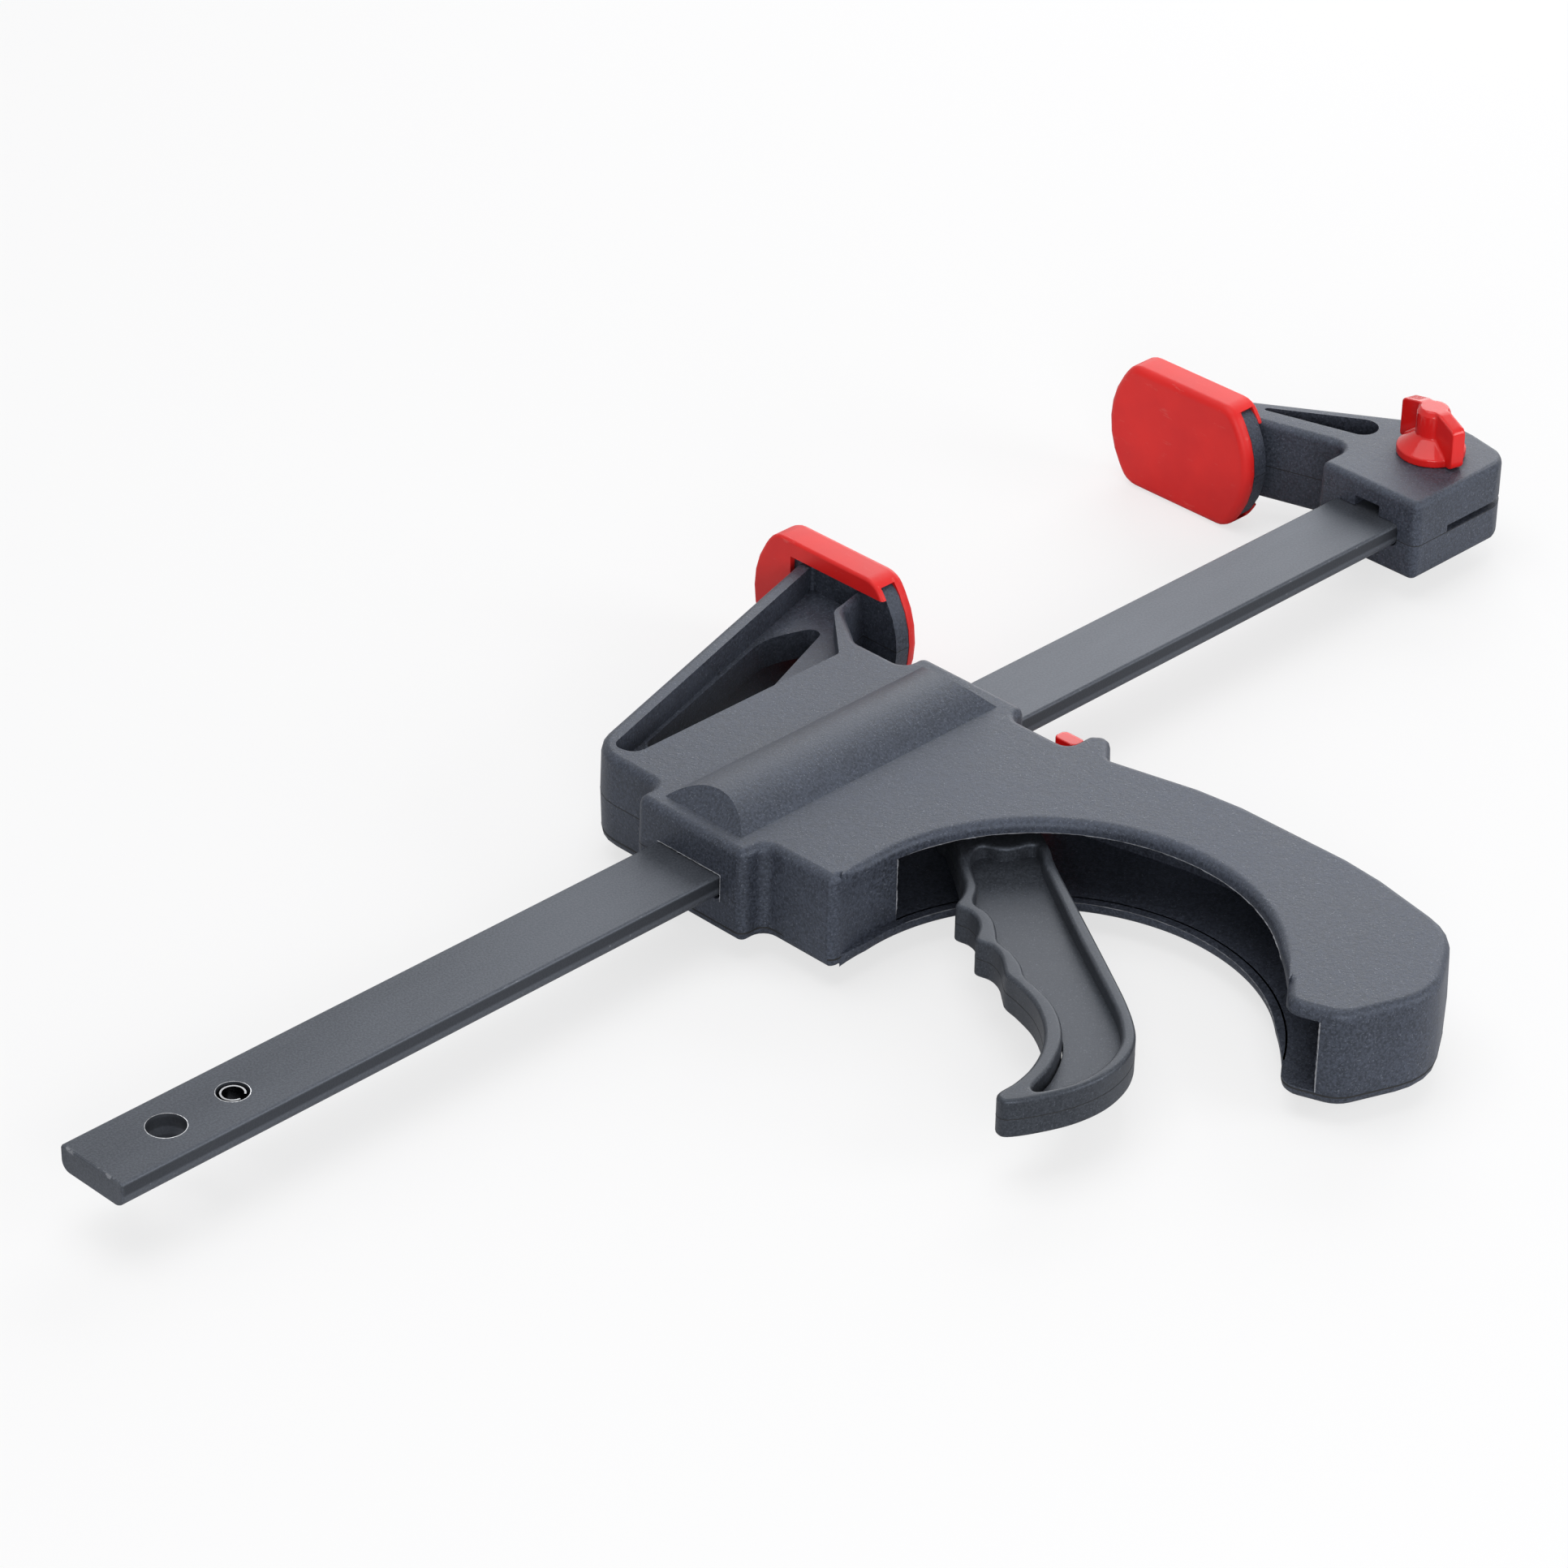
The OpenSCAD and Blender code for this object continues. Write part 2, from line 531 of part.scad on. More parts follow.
// Room inside: the mechanism's chamber, open to the handle's channel, which is open to the hand
inner_h = housing_t - 2 * housing_wall;
chamber_x0 = rear_boss_l + housing_wall * 1.15;
chamber_x1 = front_x - housing_wall * 0.55;
chamber_y = bar_w / 2 + housing_wall * 1.35;
mouth_x = housing_l * 0.316;
mouth_y = rim_y + rim_r + housing_wall;
channel_shares = [
    [0.41, -0.853, 0.01], [0.42, -0.92, 0.01], [0.53, -0.92, 0.01], [0.60, -0.95, 0.05], [0.752, -0.975, 0.15],
    [0.938, -0.897, 0.17], [1.01, -0.733, 0.55], [1.01, -0.467, 0.55]];
channel_outline = concat(
    [[chamber_x0, mouth_y, fillet * 0.3], [mouth_x, mouth_y, fillet * 0.1],
        [mouth_x, rim_y + rim_r * 0.5, fillet * 0.1]],
    [for (p = channel_shares) [p.x * housing_l, p.y * handle_reach, p[2] * housing_l]],
    [[housing_l * 0.93, ear_y * 1.194, housing_l * 0.04], [front_x - housing_wall, ear_y, fillet * 0.1], [chamber_x1, ear_y * 0.9, fillet * 0.1],
        [chamber_x1, chamber_y, fillet * 0.1], [chamber_x0, chamber_y, fillet * 0.1]]);

// Bulge over the bar, its ends sloping at 45 degrees
bulge_half = sqrt(bulge_r * bulge_r - housing_t * housing_t / 4);
bulge_x0 = rear_boss_l * 0.68;
bulge_x1 = housing_l - front_boss_l * 0.96;
module bulge() {
    low = housing_t / 2 - housing_edge_r;
    rise = bulge_r - low;
    intersection() {
        translate([bulge_x0 - rise, 0, 0]) rotate([0, 90, 0])
            cylinder(r = bulge_r, h = bulge_x1 - bulge_x0 + 2 * rise, $fn = 96);
        rotate([90, 0, 0]) translate([0, 0, -bulge_half]) linear_extrude(2 * bulge_half)
            polygon([for (s = [1, -1]) for (p = s > 0
                ? [[bulge_x1 + housing_edge_r, low], [bulge_x1 - rise + housing_edge_r, bulge_r],
                    [bulge_x0 + rise - housing_edge_r, bulge_r], [bulge_x0 - housing_edge_r, low]]
                : [[bulge_x0 - housing_edge_r, low], [bulge_x0 + rise - housing_edge_r, bulge_r],
                    [bulge_x1 - rise + housing_edge_r, bulge_r], [bulge_x1 + housing_edge_r, low]])
                [p.x, s * p.y]]);
    }
}

// Trigger's pivot, its lobe and the plates that it pushes
trigger_head_r = housing_l * 0.11;
pivot = [housing_l * 0.65, -boss_w * 0.924];
lobe = [pivot.x + lobe_arm * sin(trigger_swing / 2), pivot.y + lobe_arm * cos(trigger_swing / 2)];
drive_front_x = lobe.x - lobe_r - free_gap;
drive_x = drive_front_x - 2 * drive_t;
drive_travel = 2 * lobe_arm * sin(trigger_swing / 2);
// Spring seat in front of the trigger, for the brake spring
seat_x = pivot.x + trigger_head_r + 3 * free_gap;
seat_t = housing_wall * 0.75;
brake_spring_y = -boss_w / 2 - brake_coil_r * 0.35;
// Pivot edge of the brake plate
brake_pivot = [chamber_x1 - housing_wall * 2.1, chamber_y + housing_wall * 0.7];
pivot_boss_d = pivot_d * 2.2;
// Depth of the pivot pin's blind hole in the upper wall, as a share of the wall
blind_share = 0.5;

// Housing: moving jaw, handle and mechanism chamber in one moulding
module housing() {
    color("darkslategray") translate([housing_x, 0, 0]) difference() {
        union() {
            difference() {
                union() {
                    bulge();
                    moulded(housing_outline, housing_t, housing_edge_r, draft);
                }
                hand_opening();
                slab(channel_outline, inner_h);
                translate([chamber_x0, 0, 0]) rotate([0, 90, 0])
                    cylinder(r = spring_room_r, h = drive_front_x - chamber_x0, $fn = 96);
            }
            translate([arm_plate_back, throat, 0]) pad_body(plate_t, plate_d, plate_h, plate_shift);
            for (side_z = [0, 1]) mirror([0, 0, side_z]) translate([pivot.x, pivot.y, trigger_t / 2 + free_gap])
                cylinder(d = pivot_boss_d, h = (inner_h - trigger_t) / 2);
            span_box([seat_x, brake_spring_y - 2 * brake_coil_r, -inner_h / 2],
                [seat_x + seat_t, brake_spring_y + 2 * brake_coil_r, inner_h / 2]);
            translate([seat_x, brake_spring_y, 0]) rotate([0, 90, 0])
                cylinder(r = brake_coil_r - brake_wire, h = seat_t * 2);
        }
        for (side_z = [0, 1]) mirror([0, 0, side_z])
            translate([0, 0, web_t / 2 + web_lift - side_z * web_lift * 2]) linear_extrude(housing_t)
                polygon(outline(pocket_outline));
        slab(window_outline, housing_t);
        translate([-cut, 0, 0]) bar_section(housing_l + 2 * cut, slide_gap);
        span_box([chamber_x1 - cut, ear_y + free_gap, -inner_h / 2], [housing_l, -boss_w / 2, inner_h / 2]);
        translate([brake_pivot.x, brake_pivot.y, -inner_h / 2]) cylinder(r = brake_t / 2 + turn_gap, h = inner_h);
        span_box([brake_pivot.x - brake_t, chamber_y - cut, -inner_h / 2],
            [brake_pivot.x + brake_t, brake_pivot.y, inner_h / 2]);
        translate([pivot.x, pivot.y, -housing_t]) cylinder(d = pivot_d + 2 * press_gap,
            h = housing_t * 1.5 - housing_wall * (1 - blind_share));
    }
}
// Room round the drive spring
spring_room_r = drive_coil_r + drive_wire / 2 + free_gap;

// Pin that the trigger turns on, driven in from the underside
module trigger_pin() {
    color("silver") translate([housing_x + pivot.x, pivot.y, -housing_t / 2 + free_gap])
        cylinder(d = pivot_d, h = housing_t - free_gap - housing_wall * (1 - blind_share) - press_gap);
}

// Trigger. Shares of the housing's length and of the handle's reach, then of the length for radii.
finger_shares = [
    [0.479, -0.241, 0.05], [0.385, -0.323, 0.04], [0.313, -0.347, 0.05], [0.288, -0.409, 0.045],
    [0.232, -0.427, 0.045], [0.203, -0.499, 0.09], [0.159, -0.527, 0.11], [0.051, -0.686, 0.16],
    [-0.202, -0.705, 0.017], [-0.194, -0.737, 0.034], [0.131, -0.83, 0.288]];
trigger_outline = concat(
    [[lobe.x - lobe_r, lobe.y + lobe_r, lobe_r * 0.98],
        [lobe.x - lobe_r, lobe.y - lobe_r, lobe_r], [pivot.x - trigger_head_r * 0.86, pivot.y + lobe_r, lobe_r]],
    [for (p = finger_shares) [p.x * housing_l, p.y * handle_reach, p[2] * housing_l]],
    [[pivot.x + trigger_head_r, pivot.y - trigger_head_r * 0.6, trigger_head_r],
        [pivot.x + trigger_head_r * 0.9, pivot.y + lobe_r, lobe_r],
        [lobe.x + lobe_r, lobe.y + lobe_r, lobe_r * 0.98]]);
panel_shares = [
    [0.455, -0.303, 0.01], [0.345, -0.372, 0.03], [0.315, -0.425, 0.04], [0.262, -0.47, 0.04],
    [0.235, -0.52, 0.04], [0.085, -0.672, 0.17], [-0.145, -0.742, 0.01], [-0.02, -0.766, 0.1],
    [0.155, -0.757, 0.11], [0.566, -0.366, 0.01]];
// Pocket between the panel and the pivot
head_pocket_shares = [[0.466, -0.297, 0.012], [0.577, -0.359, 0.012], [0.629, -0.319, 0.012], [0.52, -0.256, 0.012]];
module trigger() {
    color("darkslategray") translate([housing_x, 0, 0]) difference() {
        moulded(trigger_outline, trigger_t, trigger_edge_r);
        for (side_z = [0, 1]) mirror([0, 0, side_z])
            translate([0, 0, trigger_t / 2 - trigger_panel_depth]) linear_extrude(trigger_t)
                polygon(outline([for (p = panel_shares) [p.x * housing_l, p.y * handle_reach, p[2] * housing_l]]));
        for (side_z = [0, 1]) mirror([0, 0, side_z])
            translate([0, 0, trigger_web_t / 2]) linear_extrude(trigger_t) polygon(outline(
                [for (p = head_pocket_shares) [p.x * housing_l, p.y * handle_reach, p[2] * housing_l]]));
        translate([pivot.x, pivot.y, -trigger_t]) cylinder(d = pivot_d + 2 * turn_gap, h = 2 * trigger_t);
    }
}

// Steel plate of thickness t with a slot for the bar, from y0 to y1 in its own plane across X
drive_top = chamber_y - free_gap * 2;
drive_low = -bar_w / 2 - lobe_arm * 0.47;
module drive_plate(x) {
    middle = (drive_top + drive_low) / 2;
    color("silver") translate([housing_x + x, 0, 0]) difference() {
        rotate([90, 0, 90]) linear_extrude(drive_t) translate([middle, 0])
            polygon(outline(oblong(drive_top - drive_low, plate_w, bar_edge_r)));
        translate([-cut, 0, 0]) bar_section(drive_t + 2 * cut, slot_gap);
    }
}
module drive_plate_front() {
    drive_plate(drive_front_x - drive_t);
}
module drive_plate_rear() {
    drive_plate(drive_x);
}

drive_turns = 8;
module drive_spring() {
    color("silver") translate([housing_x + chamber_x0 + free_gap / 2, 0, 0])
        coil(drive_x - chamber_x0 - free_gap, drive_coil_r, drive_wire, drive_turns);
}

// Brake plate: places down the plate from its pivot edge
brake_slot_top = (brake_pivot.y - brake_t / 2 * sin(brake_lean) - bar_w / 2 - slot_gap) / cos(brake_lean);
brake_slot_low = (brake_pivot.y + brake_t / 2 * sin(brake_lean) + bar_w / 2 + slot_gap) / cos(brake_lean);
brake_l = brake_pivot.y - ear_y - housing_wall * 1.2;
// Stands the children at the brake plate's rest lean: +X forward, -Y down the plate
module at_brake() {
    translate([housing_x + brake_pivot.x, brake_pivot.y, 0]) rotate([0, 0, brake_lean]) children();
}
module brake_plate() {
    slot = brake_slot_low - brake_slot_top;
    color("silver") at_brake() difference() {
        union() {
            translate([0, 0, -plate_w / 2]) cylinder(d = brake_t, h = plate_w);
            span_box([-brake_t / 2, -brake_l, -plate_w / 2], [brake_t / 2, 0, plate_w / 2]);
        }
        translate([-brake_t, -brake_slot_top - slot / 2, 0]) rotate([90, 0, 90]) linear_extrude(2 * brake_t)
            polygon(outline(oblong(slot, bar_t + 2 * slide_gap, bar_edge_r)));
    }
}

// Red lever on the brake plate's lower end, its head in front of the housing
cap_top = brake_l - brake_t * 2.4;
cap_t = brake_t * 2.4;
head_back = front_x + housing_l * 0.052;
head_t = housing_wall * 1.25;
head_y0 = ear_y + free_gap * 7;
head_y1 = -boss_w * 0.745;
lever_z = inner_h / 2 - free_gap * 1.5;
module release_lever() {
    color("crimson") difference() {
        union() {
            at_brake() span_box([-cap_t / 2, -brake_l - brake_t * 0.6, -lever_z], [cap_t / 2, -cap_top, lever_z]);
            translate([housing_x, 0, 0]) {
                span_box([front_x, head_y0 + free_gap, -lever_z / 2], [head_back + cut, head_y1 - free_gap, lever_z / 2]);
                slab([[head_back, head_y0, head_t * 0.3], [head_back + head_t, head_y0, head_t * 0.3],
                    [head_back + head_t, head_y1, head_t * 0.4], [head_back, head_y1, head_t * 0.3]], 2 * lever_z);
            }
        }
        at_brake() span_box([-brake_t / 2 - press_gap, -brake_l - press_gap, -plate_w / 2 - press_gap],
            [brake_t / 2 + press_gap, 0, plate_w / 2 + press_gap]);
    }
}

brake_turns = 5;
// Back face of the brake plate at the spring's upper side, where it stands nearest
brake_back_x = brake_pivot.x + (brake_pivot.y - brake_spring_y - brake_coil_r - brake_wire) * tan(brake_lean)
    - brake_t / 2 / cos(brake_lean);
module brake_spring() {
    x0 = seat_x + seat_t + free_gap / 2;
    color("silver") translate([housing_x + x0, brake_spring_y, 0])
        coil(brake_back_x - x0 - free_gap / 2, brake_coil_r, brake_wire, brake_turns);
}

bar();
stop_pin();
fixed_jaw();
fixed_pad();
jaw_nut();
clamp_screw();
wing_knob();
housing();
moving_pad();
trigger();
trigger_pin();
drive_plate_front();
drive_plate_rear();
drive_spring();
brake_plate();
brake_spring();
release_lever();
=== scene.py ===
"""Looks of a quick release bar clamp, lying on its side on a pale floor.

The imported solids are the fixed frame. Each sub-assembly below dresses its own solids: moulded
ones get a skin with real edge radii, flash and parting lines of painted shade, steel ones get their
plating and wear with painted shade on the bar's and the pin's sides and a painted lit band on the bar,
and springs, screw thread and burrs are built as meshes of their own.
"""
import json
import logging
import math
import random
from dataclasses import dataclass, field
from enum import Enum
from typing import Any, Callable, Dict, List, Optional, Sequence, Tuple, Union

import bmesh
import bpy
from mathutils import Matrix, Vector

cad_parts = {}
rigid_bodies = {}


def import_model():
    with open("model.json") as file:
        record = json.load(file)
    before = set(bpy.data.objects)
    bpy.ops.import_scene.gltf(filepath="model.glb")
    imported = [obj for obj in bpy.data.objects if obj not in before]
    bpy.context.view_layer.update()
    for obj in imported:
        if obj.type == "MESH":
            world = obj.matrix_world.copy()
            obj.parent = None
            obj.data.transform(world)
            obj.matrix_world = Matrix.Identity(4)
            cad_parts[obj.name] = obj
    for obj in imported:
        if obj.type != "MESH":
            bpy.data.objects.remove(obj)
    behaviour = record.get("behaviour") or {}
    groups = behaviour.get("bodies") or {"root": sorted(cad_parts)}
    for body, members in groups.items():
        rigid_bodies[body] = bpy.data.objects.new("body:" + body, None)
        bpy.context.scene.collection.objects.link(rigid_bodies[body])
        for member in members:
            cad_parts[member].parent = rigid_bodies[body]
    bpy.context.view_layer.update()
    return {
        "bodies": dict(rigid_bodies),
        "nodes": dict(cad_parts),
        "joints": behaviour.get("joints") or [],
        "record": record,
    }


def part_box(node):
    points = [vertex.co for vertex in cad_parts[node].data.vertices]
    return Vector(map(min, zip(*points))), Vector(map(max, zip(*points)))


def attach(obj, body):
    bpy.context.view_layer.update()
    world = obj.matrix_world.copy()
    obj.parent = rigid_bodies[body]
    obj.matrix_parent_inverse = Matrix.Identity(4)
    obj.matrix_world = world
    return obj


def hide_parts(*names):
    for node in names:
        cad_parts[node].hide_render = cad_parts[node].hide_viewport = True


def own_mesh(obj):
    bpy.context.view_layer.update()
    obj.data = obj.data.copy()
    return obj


LOG = logging.getLogger("bar_clamp")
MM = 0.001
WELD_MM = 0.003
CURVE_WELD_MM = 0.002
FLAT_DEG = 0.8
SHARP_DEG = 40.0
X_AXIS = Vector((1.0, 0.0, 0.0))
Y_AXIS = Vector((0.0, 1.0, 0.0))
UP = Vector((0.0, 0.0, 1.0))
QUARTER = [math.radians(15 * k) for k in range(7)]
MOULD_EDGE_MM = 0.5
PAD_EDGE_MM = 0.3
SEAM_PROUD_MM = 0.03
Colour = Tuple[float, float, float]
Ring = List[Vector]


# Shader maths


class Value:
    """A number inside a material's nodes, with Python's own arithmetic."""

    def __init__(self, graph: "Graph", socket: bpy.types.NodeSocket) -> None:
        """Keeps the graph and the socket that carries the number."""
        self.graph = graph
        self.socket = socket

    def __add__(self, other: "Number") -> "Value":
        """Sum."""
        return self.graph.math("ADD", self, other)

    def __radd__(self, other: "Number") -> "Value":
        """Sum, reflected."""
        return self.graph.math("ADD", other, self)

    def __sub__(self, other: "Number") -> "Value":
        """Difference."""
        return self.graph.math("SUBTRACT", self, other)

    def __rsub__(self, other: "Number") -> "Value":
        """Difference, reflected."""
        return self.graph.math("SUBTRACT", other, self)

    def __mul__(self, other: "Number") -> "Value":
        """Product."""
        return self.graph.math("MULTIPLY", self, other)

    def __rmul__(self, other: "Number") -> "Value":
        """Product, reflected."""
        return self.graph.math("MULTIPLY", other, self)

    def __abs__(self) -> "Value":
        """Size without its sign."""
        return self.graph.math("ABSOLUTE", self)

    def above(self, low: float, high: float) -> "Value":
        """Smooth mask: 0 up to low, 1 from high.

        Args:
            low: number where the mask starts to rise.
            high: number where it is full.

        Returns:
            The mask.
        """
        step = self.graph.add("ShaderNodeMapRange", {"interpolation_type": "SMOOTHSTEP"},
                              {"Value": self, "From Min": low, "From Max": high})
        return Value(self.graph, step.outputs["Result"])

    def between(self, start: float, full: float, fades: float, end: float) -> "Value":
        """Smooth mask that rises from start to full and falls from fades to end."""
        return self.above(start, full) * (1 - self.above(fades, end))


Number = Union[float, int, Value]
Feed = Union[float, Sequence[float], Value, bpy.types.NodeSocket]


class Graph:
    """The node tree of a material or the world, and the few ways in which nodes are added to it."""

    def __init__(self, owner: Union[bpy.types.Material, bpy.types.World]) -> None:
        """Empties the owner's tree.

        Args:
            owner: the material or world that the nodes are for.
        """
        owner.use_nodes = True
        self.owner = owner
        self.tree = owner.node_tree
        self.tree.nodes.clear()
        self._place: Optional[bpy.types.NodeSocket] = None

    def add(self, kind: str, settings: Optional[Dict[str, Any]] = None,
            inputs: Optional[Dict[Union[str, int], Feed]] = None) -> bpy.types.Node:
        """Adds one node.

        Args:
            kind: the node's type.
            settings: its properties, set first.
            inputs: a value or a link for each named or numbered socket.

        Returns:
            The node.
        """
        node = self.tree.nodes.new(kind)
        for key, value in (settings or {}).items():
            setattr(node, key, value)
        for key, value in (inputs or {}).items():
            if isinstance(value, Value):
                self.tree.links.new(value.socket, node.inputs[key])
            elif isinstance(value, bpy.types.NodeSocket):
                self.tree.links.new(value, node.inputs[key])
            else:
                node.inputs[key].default_value = value
        return node

    def math(self, operation: str, *terms: Number) -> Value:
        """One Math node on one or two numbers."""
        node = self.add("ShaderNodeMath", {"operation": operation}, dict(enumerate(terms)))
        return Value(self, node.outputs[0])

    def place(self) -> bpy.types.NodeSocket:
        """The surface's place in the frame of the object at rest.

        Returns:
            The place in millimetres, from nodes that are added once.
        """
        if self._place is None:
            coordinates = self.add("ShaderNodeTexCoord")
            scaled = self.add("ShaderNodeVectorMath", {"operation": "SCALE"},
                              {0: coordinates.outputs["Object"], "Scale": 1.0 / MM})
            self._place = scaled.outputs[0]
        return self._place

    def stretched(self, x: float, y: float, z: float) -> bpy.types.NodeSocket:
        """The place with each axis scaled on its own, for marks that run one way."""
        node = self.add("ShaderNodeVectorMath", {"operation": "MULTIPLY"},
                        {0: self.place(), 1: (x, y, z)})
        return node.outputs[0]

    def axis(self, name: str, source: Optional[bpy.types.NodeSocket] = None) -> Value:
        """One coordinate of the place, or of another vector."""
        node = self.add("ShaderNodeSeparateXYZ", None, {0: source or self.place()})
        return Value(self, node.outputs[name])

    def facing(self, name: str) -> Value:
        """One coordinate of the surface's normal, in the object's own frame."""
        return self.axis(name, self.add("ShaderNodeTexCoord").outputs["Normal"])

    def noise(self, per_mm: float, detail: float = 2.0, rough: float = 0.5,
              at: Optional[bpy.types.NodeSocket] = None) -> Value:
        """Cloud noise, about 0.5 on average.

        Args:
            per_mm: features to a millimetre.
            detail: how many finer layers it has.
            rough: how strong these are.
            at: the place to read it at, where it isn't the surface's own.

        Returns:
            The noise.
        """
        node = self.add("ShaderNodeTexNoise", None, {"Vector": at or self.place(), "Scale": per_mm,
                                                    "Detail": detail, "Roughness": rough})
        return Value(self, node.outputs[0])

    def cells(self, per_mm: float) -> Value:
        """Distance to the nearest of scattered points, for flecks and pits."""
        node = self.add("ShaderNodeTexVoronoi", None, {"Vector": self.place(), "Scale": per_mm})
        return Value(self, node.outputs["Distance"])

    def blend(self, factor: Number, first: Union[Colour, bpy.types.NodeSocket],
              second: Union[Colour, bpy.types.NodeSocket]) -> bpy.types.NodeSocket:
        """Mix of two colours.

        Args:
            factor: 0 for the first and 1 for the second.
            first: one colour.
            second: the other.

        Returns:
            The mixed colour.
        """
        feeds: Dict[Union[str, int], Feed] = {0: factor}
        for socket, colour in ((6, first), (7, second)):
            feeds[socket] = (*colour, 1.0) if isinstance(colour, tuple) else colour
        return self.add("ShaderNodeMix", {"data_type": "RGBA"}, feeds).outputs[2]

    def relief(self, height: Value, depth_mm: float) -> bpy.types.NodeSocket:
        """Normal of a surface that rises and falls by depth_mm where height goes from 0 to 1."""
        bump = self.add("ShaderNodeBump", None,
                        {"Height": height, "Distance": depth_mm * MM, "Strength": 1.0})
        return bump.outputs[0]

    def surface(self, **inputs: Feed) -> bpy.types.Material:
        """Ends the material in one Principled shader.

        Args:
            **inputs: the shader's sockets, with _ for each space in a name.

        Returns:
            The material.
        """
        shader = self.add("ShaderNodeBsdfPrincipled", None,
                          {key.replace("_", " "): value for key, value in inputs.items()})
        self.add("ShaderNodeOutputMaterial", None, {"Surface": shader.outputs[0]})
        return self.owner


# Finishes


def shade(colour: Colour, factor: float) -> Colour:
    """The colour made darker or paler by a factor."""
    return tuple(c * factor for c in colour)


class Slot(Enum):
    """The record's material slots."""

    BAR = "bar_steel"
    PLATED = "plated_steel"
    HARD = "hard_steel"
    SPRING = "spring_steel"
    NYLON = "grey_nylon"
    TRIGGER = "trigger_nylon"
    PAD = "pad_rubber"
    RED = "red_plastic"


class Body(Enum):
    """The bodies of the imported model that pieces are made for."""

    BAR = "bar_group"
    HEAD = "slide_head"
    TRIGGER = "trigger"
    BRAKE = "brake"
    WING = "wing_screw"


@dataclass(frozen=True)
class MouldedNylon:
    """Filled nylon from a spark-eroded mould: slate grey with pale flecks of filler."""

    name: str
    base: Colour = (0.026, 0.030, 0.041)
    pale: Colour = (0.15, 0.165, 0.2)
    sheen: Colour = (0.74, 0.83, 1.0)
    grain_per_mm: float = 1.6
    grain_mm: float = 0.11
    roughness: float = 0.5
    fleck: float = 0.4

    def build(self) -> bpy.types.Material:
        """Builds the finish.

        Returns:
            Its material.
        """
        g = Graph(bpy.data.materials.new(self.name))
        grain = g.noise(self.grain_per_mm, 4.0, 0.62)
        coarse = g.noise(self.grain_per_mm * 0.4, 2.0, 0.5)
        fleck = g.noise(self.grain_per_mm * 1.5, 1.0, 0.4).above(0.62, 0.76)
        cloud = g.noise(0.035, 3.0, 0.55)
        mottle = grain.above(0.34, 0.66) * 0.7 + cloud.above(0.3, 0.72) * 0.3
        tone = g.blend(mottle, shade(self.base, 0.45), shade(self.base, 2.0))
        colour = g.blend(fleck * self.fleck, tone, self.pale)
        rough = self.roughness + (grain - 0.5) * 0.3 + (cloud - 0.5) * 0.12 - fleck * 0.08
        height = grain * 0.7 + coarse * 0.5 + fleck * 0.25
        return g.surface(Base_Color=colour, Roughness=rough, Normal=g.relief(height, self.grain_mm),
                         Specular_Tint=(*self.sheen, 1.0), IOR=1.5)


@dataclass(frozen=True)
class RedPlastic:
    """Red plastic: satin on the pads, polished on the knob and the lever."""

    name: str
    base: Colour
    deep: Colour
    roughness: float
    relief_mm: float
    scuffs: float
    scuffed: Colour = (0.75, 0.24, 0.22)

    def build(self) -> bpy.types.Material:
        """Builds the finish.

        Returns:
            Its material.
        """
        g = Graph(bpy.data.materials.new(self.name))
        cloud = g.noise(0.05, 3.0, 0.6)
        flow = g.noise(0.25, 2.0, 0.5, g.stretched(0.4, 1.0, 1.0))
        fine = g.noise(3.2, 2.0, 0.5)
        rubbed = g.noise(0.5, 4.0, 0.7, g.stretched(1.0, 0.25, 1.0)).above(0.61, 0.72) * self.scuffs
        colour = g.blend(cloud.above(0.25, 0.75), self.deep, self.base)
        colour = g.blend(rubbed * 0.35, colour, self.scuffed)
        rough = self.roughness + (cloud - 0.5) * 0.12 + rubbed * 0.15 + (fine - 0.5) * 0.06
        height = fine * 0.4 + flow * 0.8 - rubbed * 0.4
        return g.surface(Base_Color=colour, Roughness=rough, Normal=g.relief(height, self.relief_mm),
                         IOR=1.4)


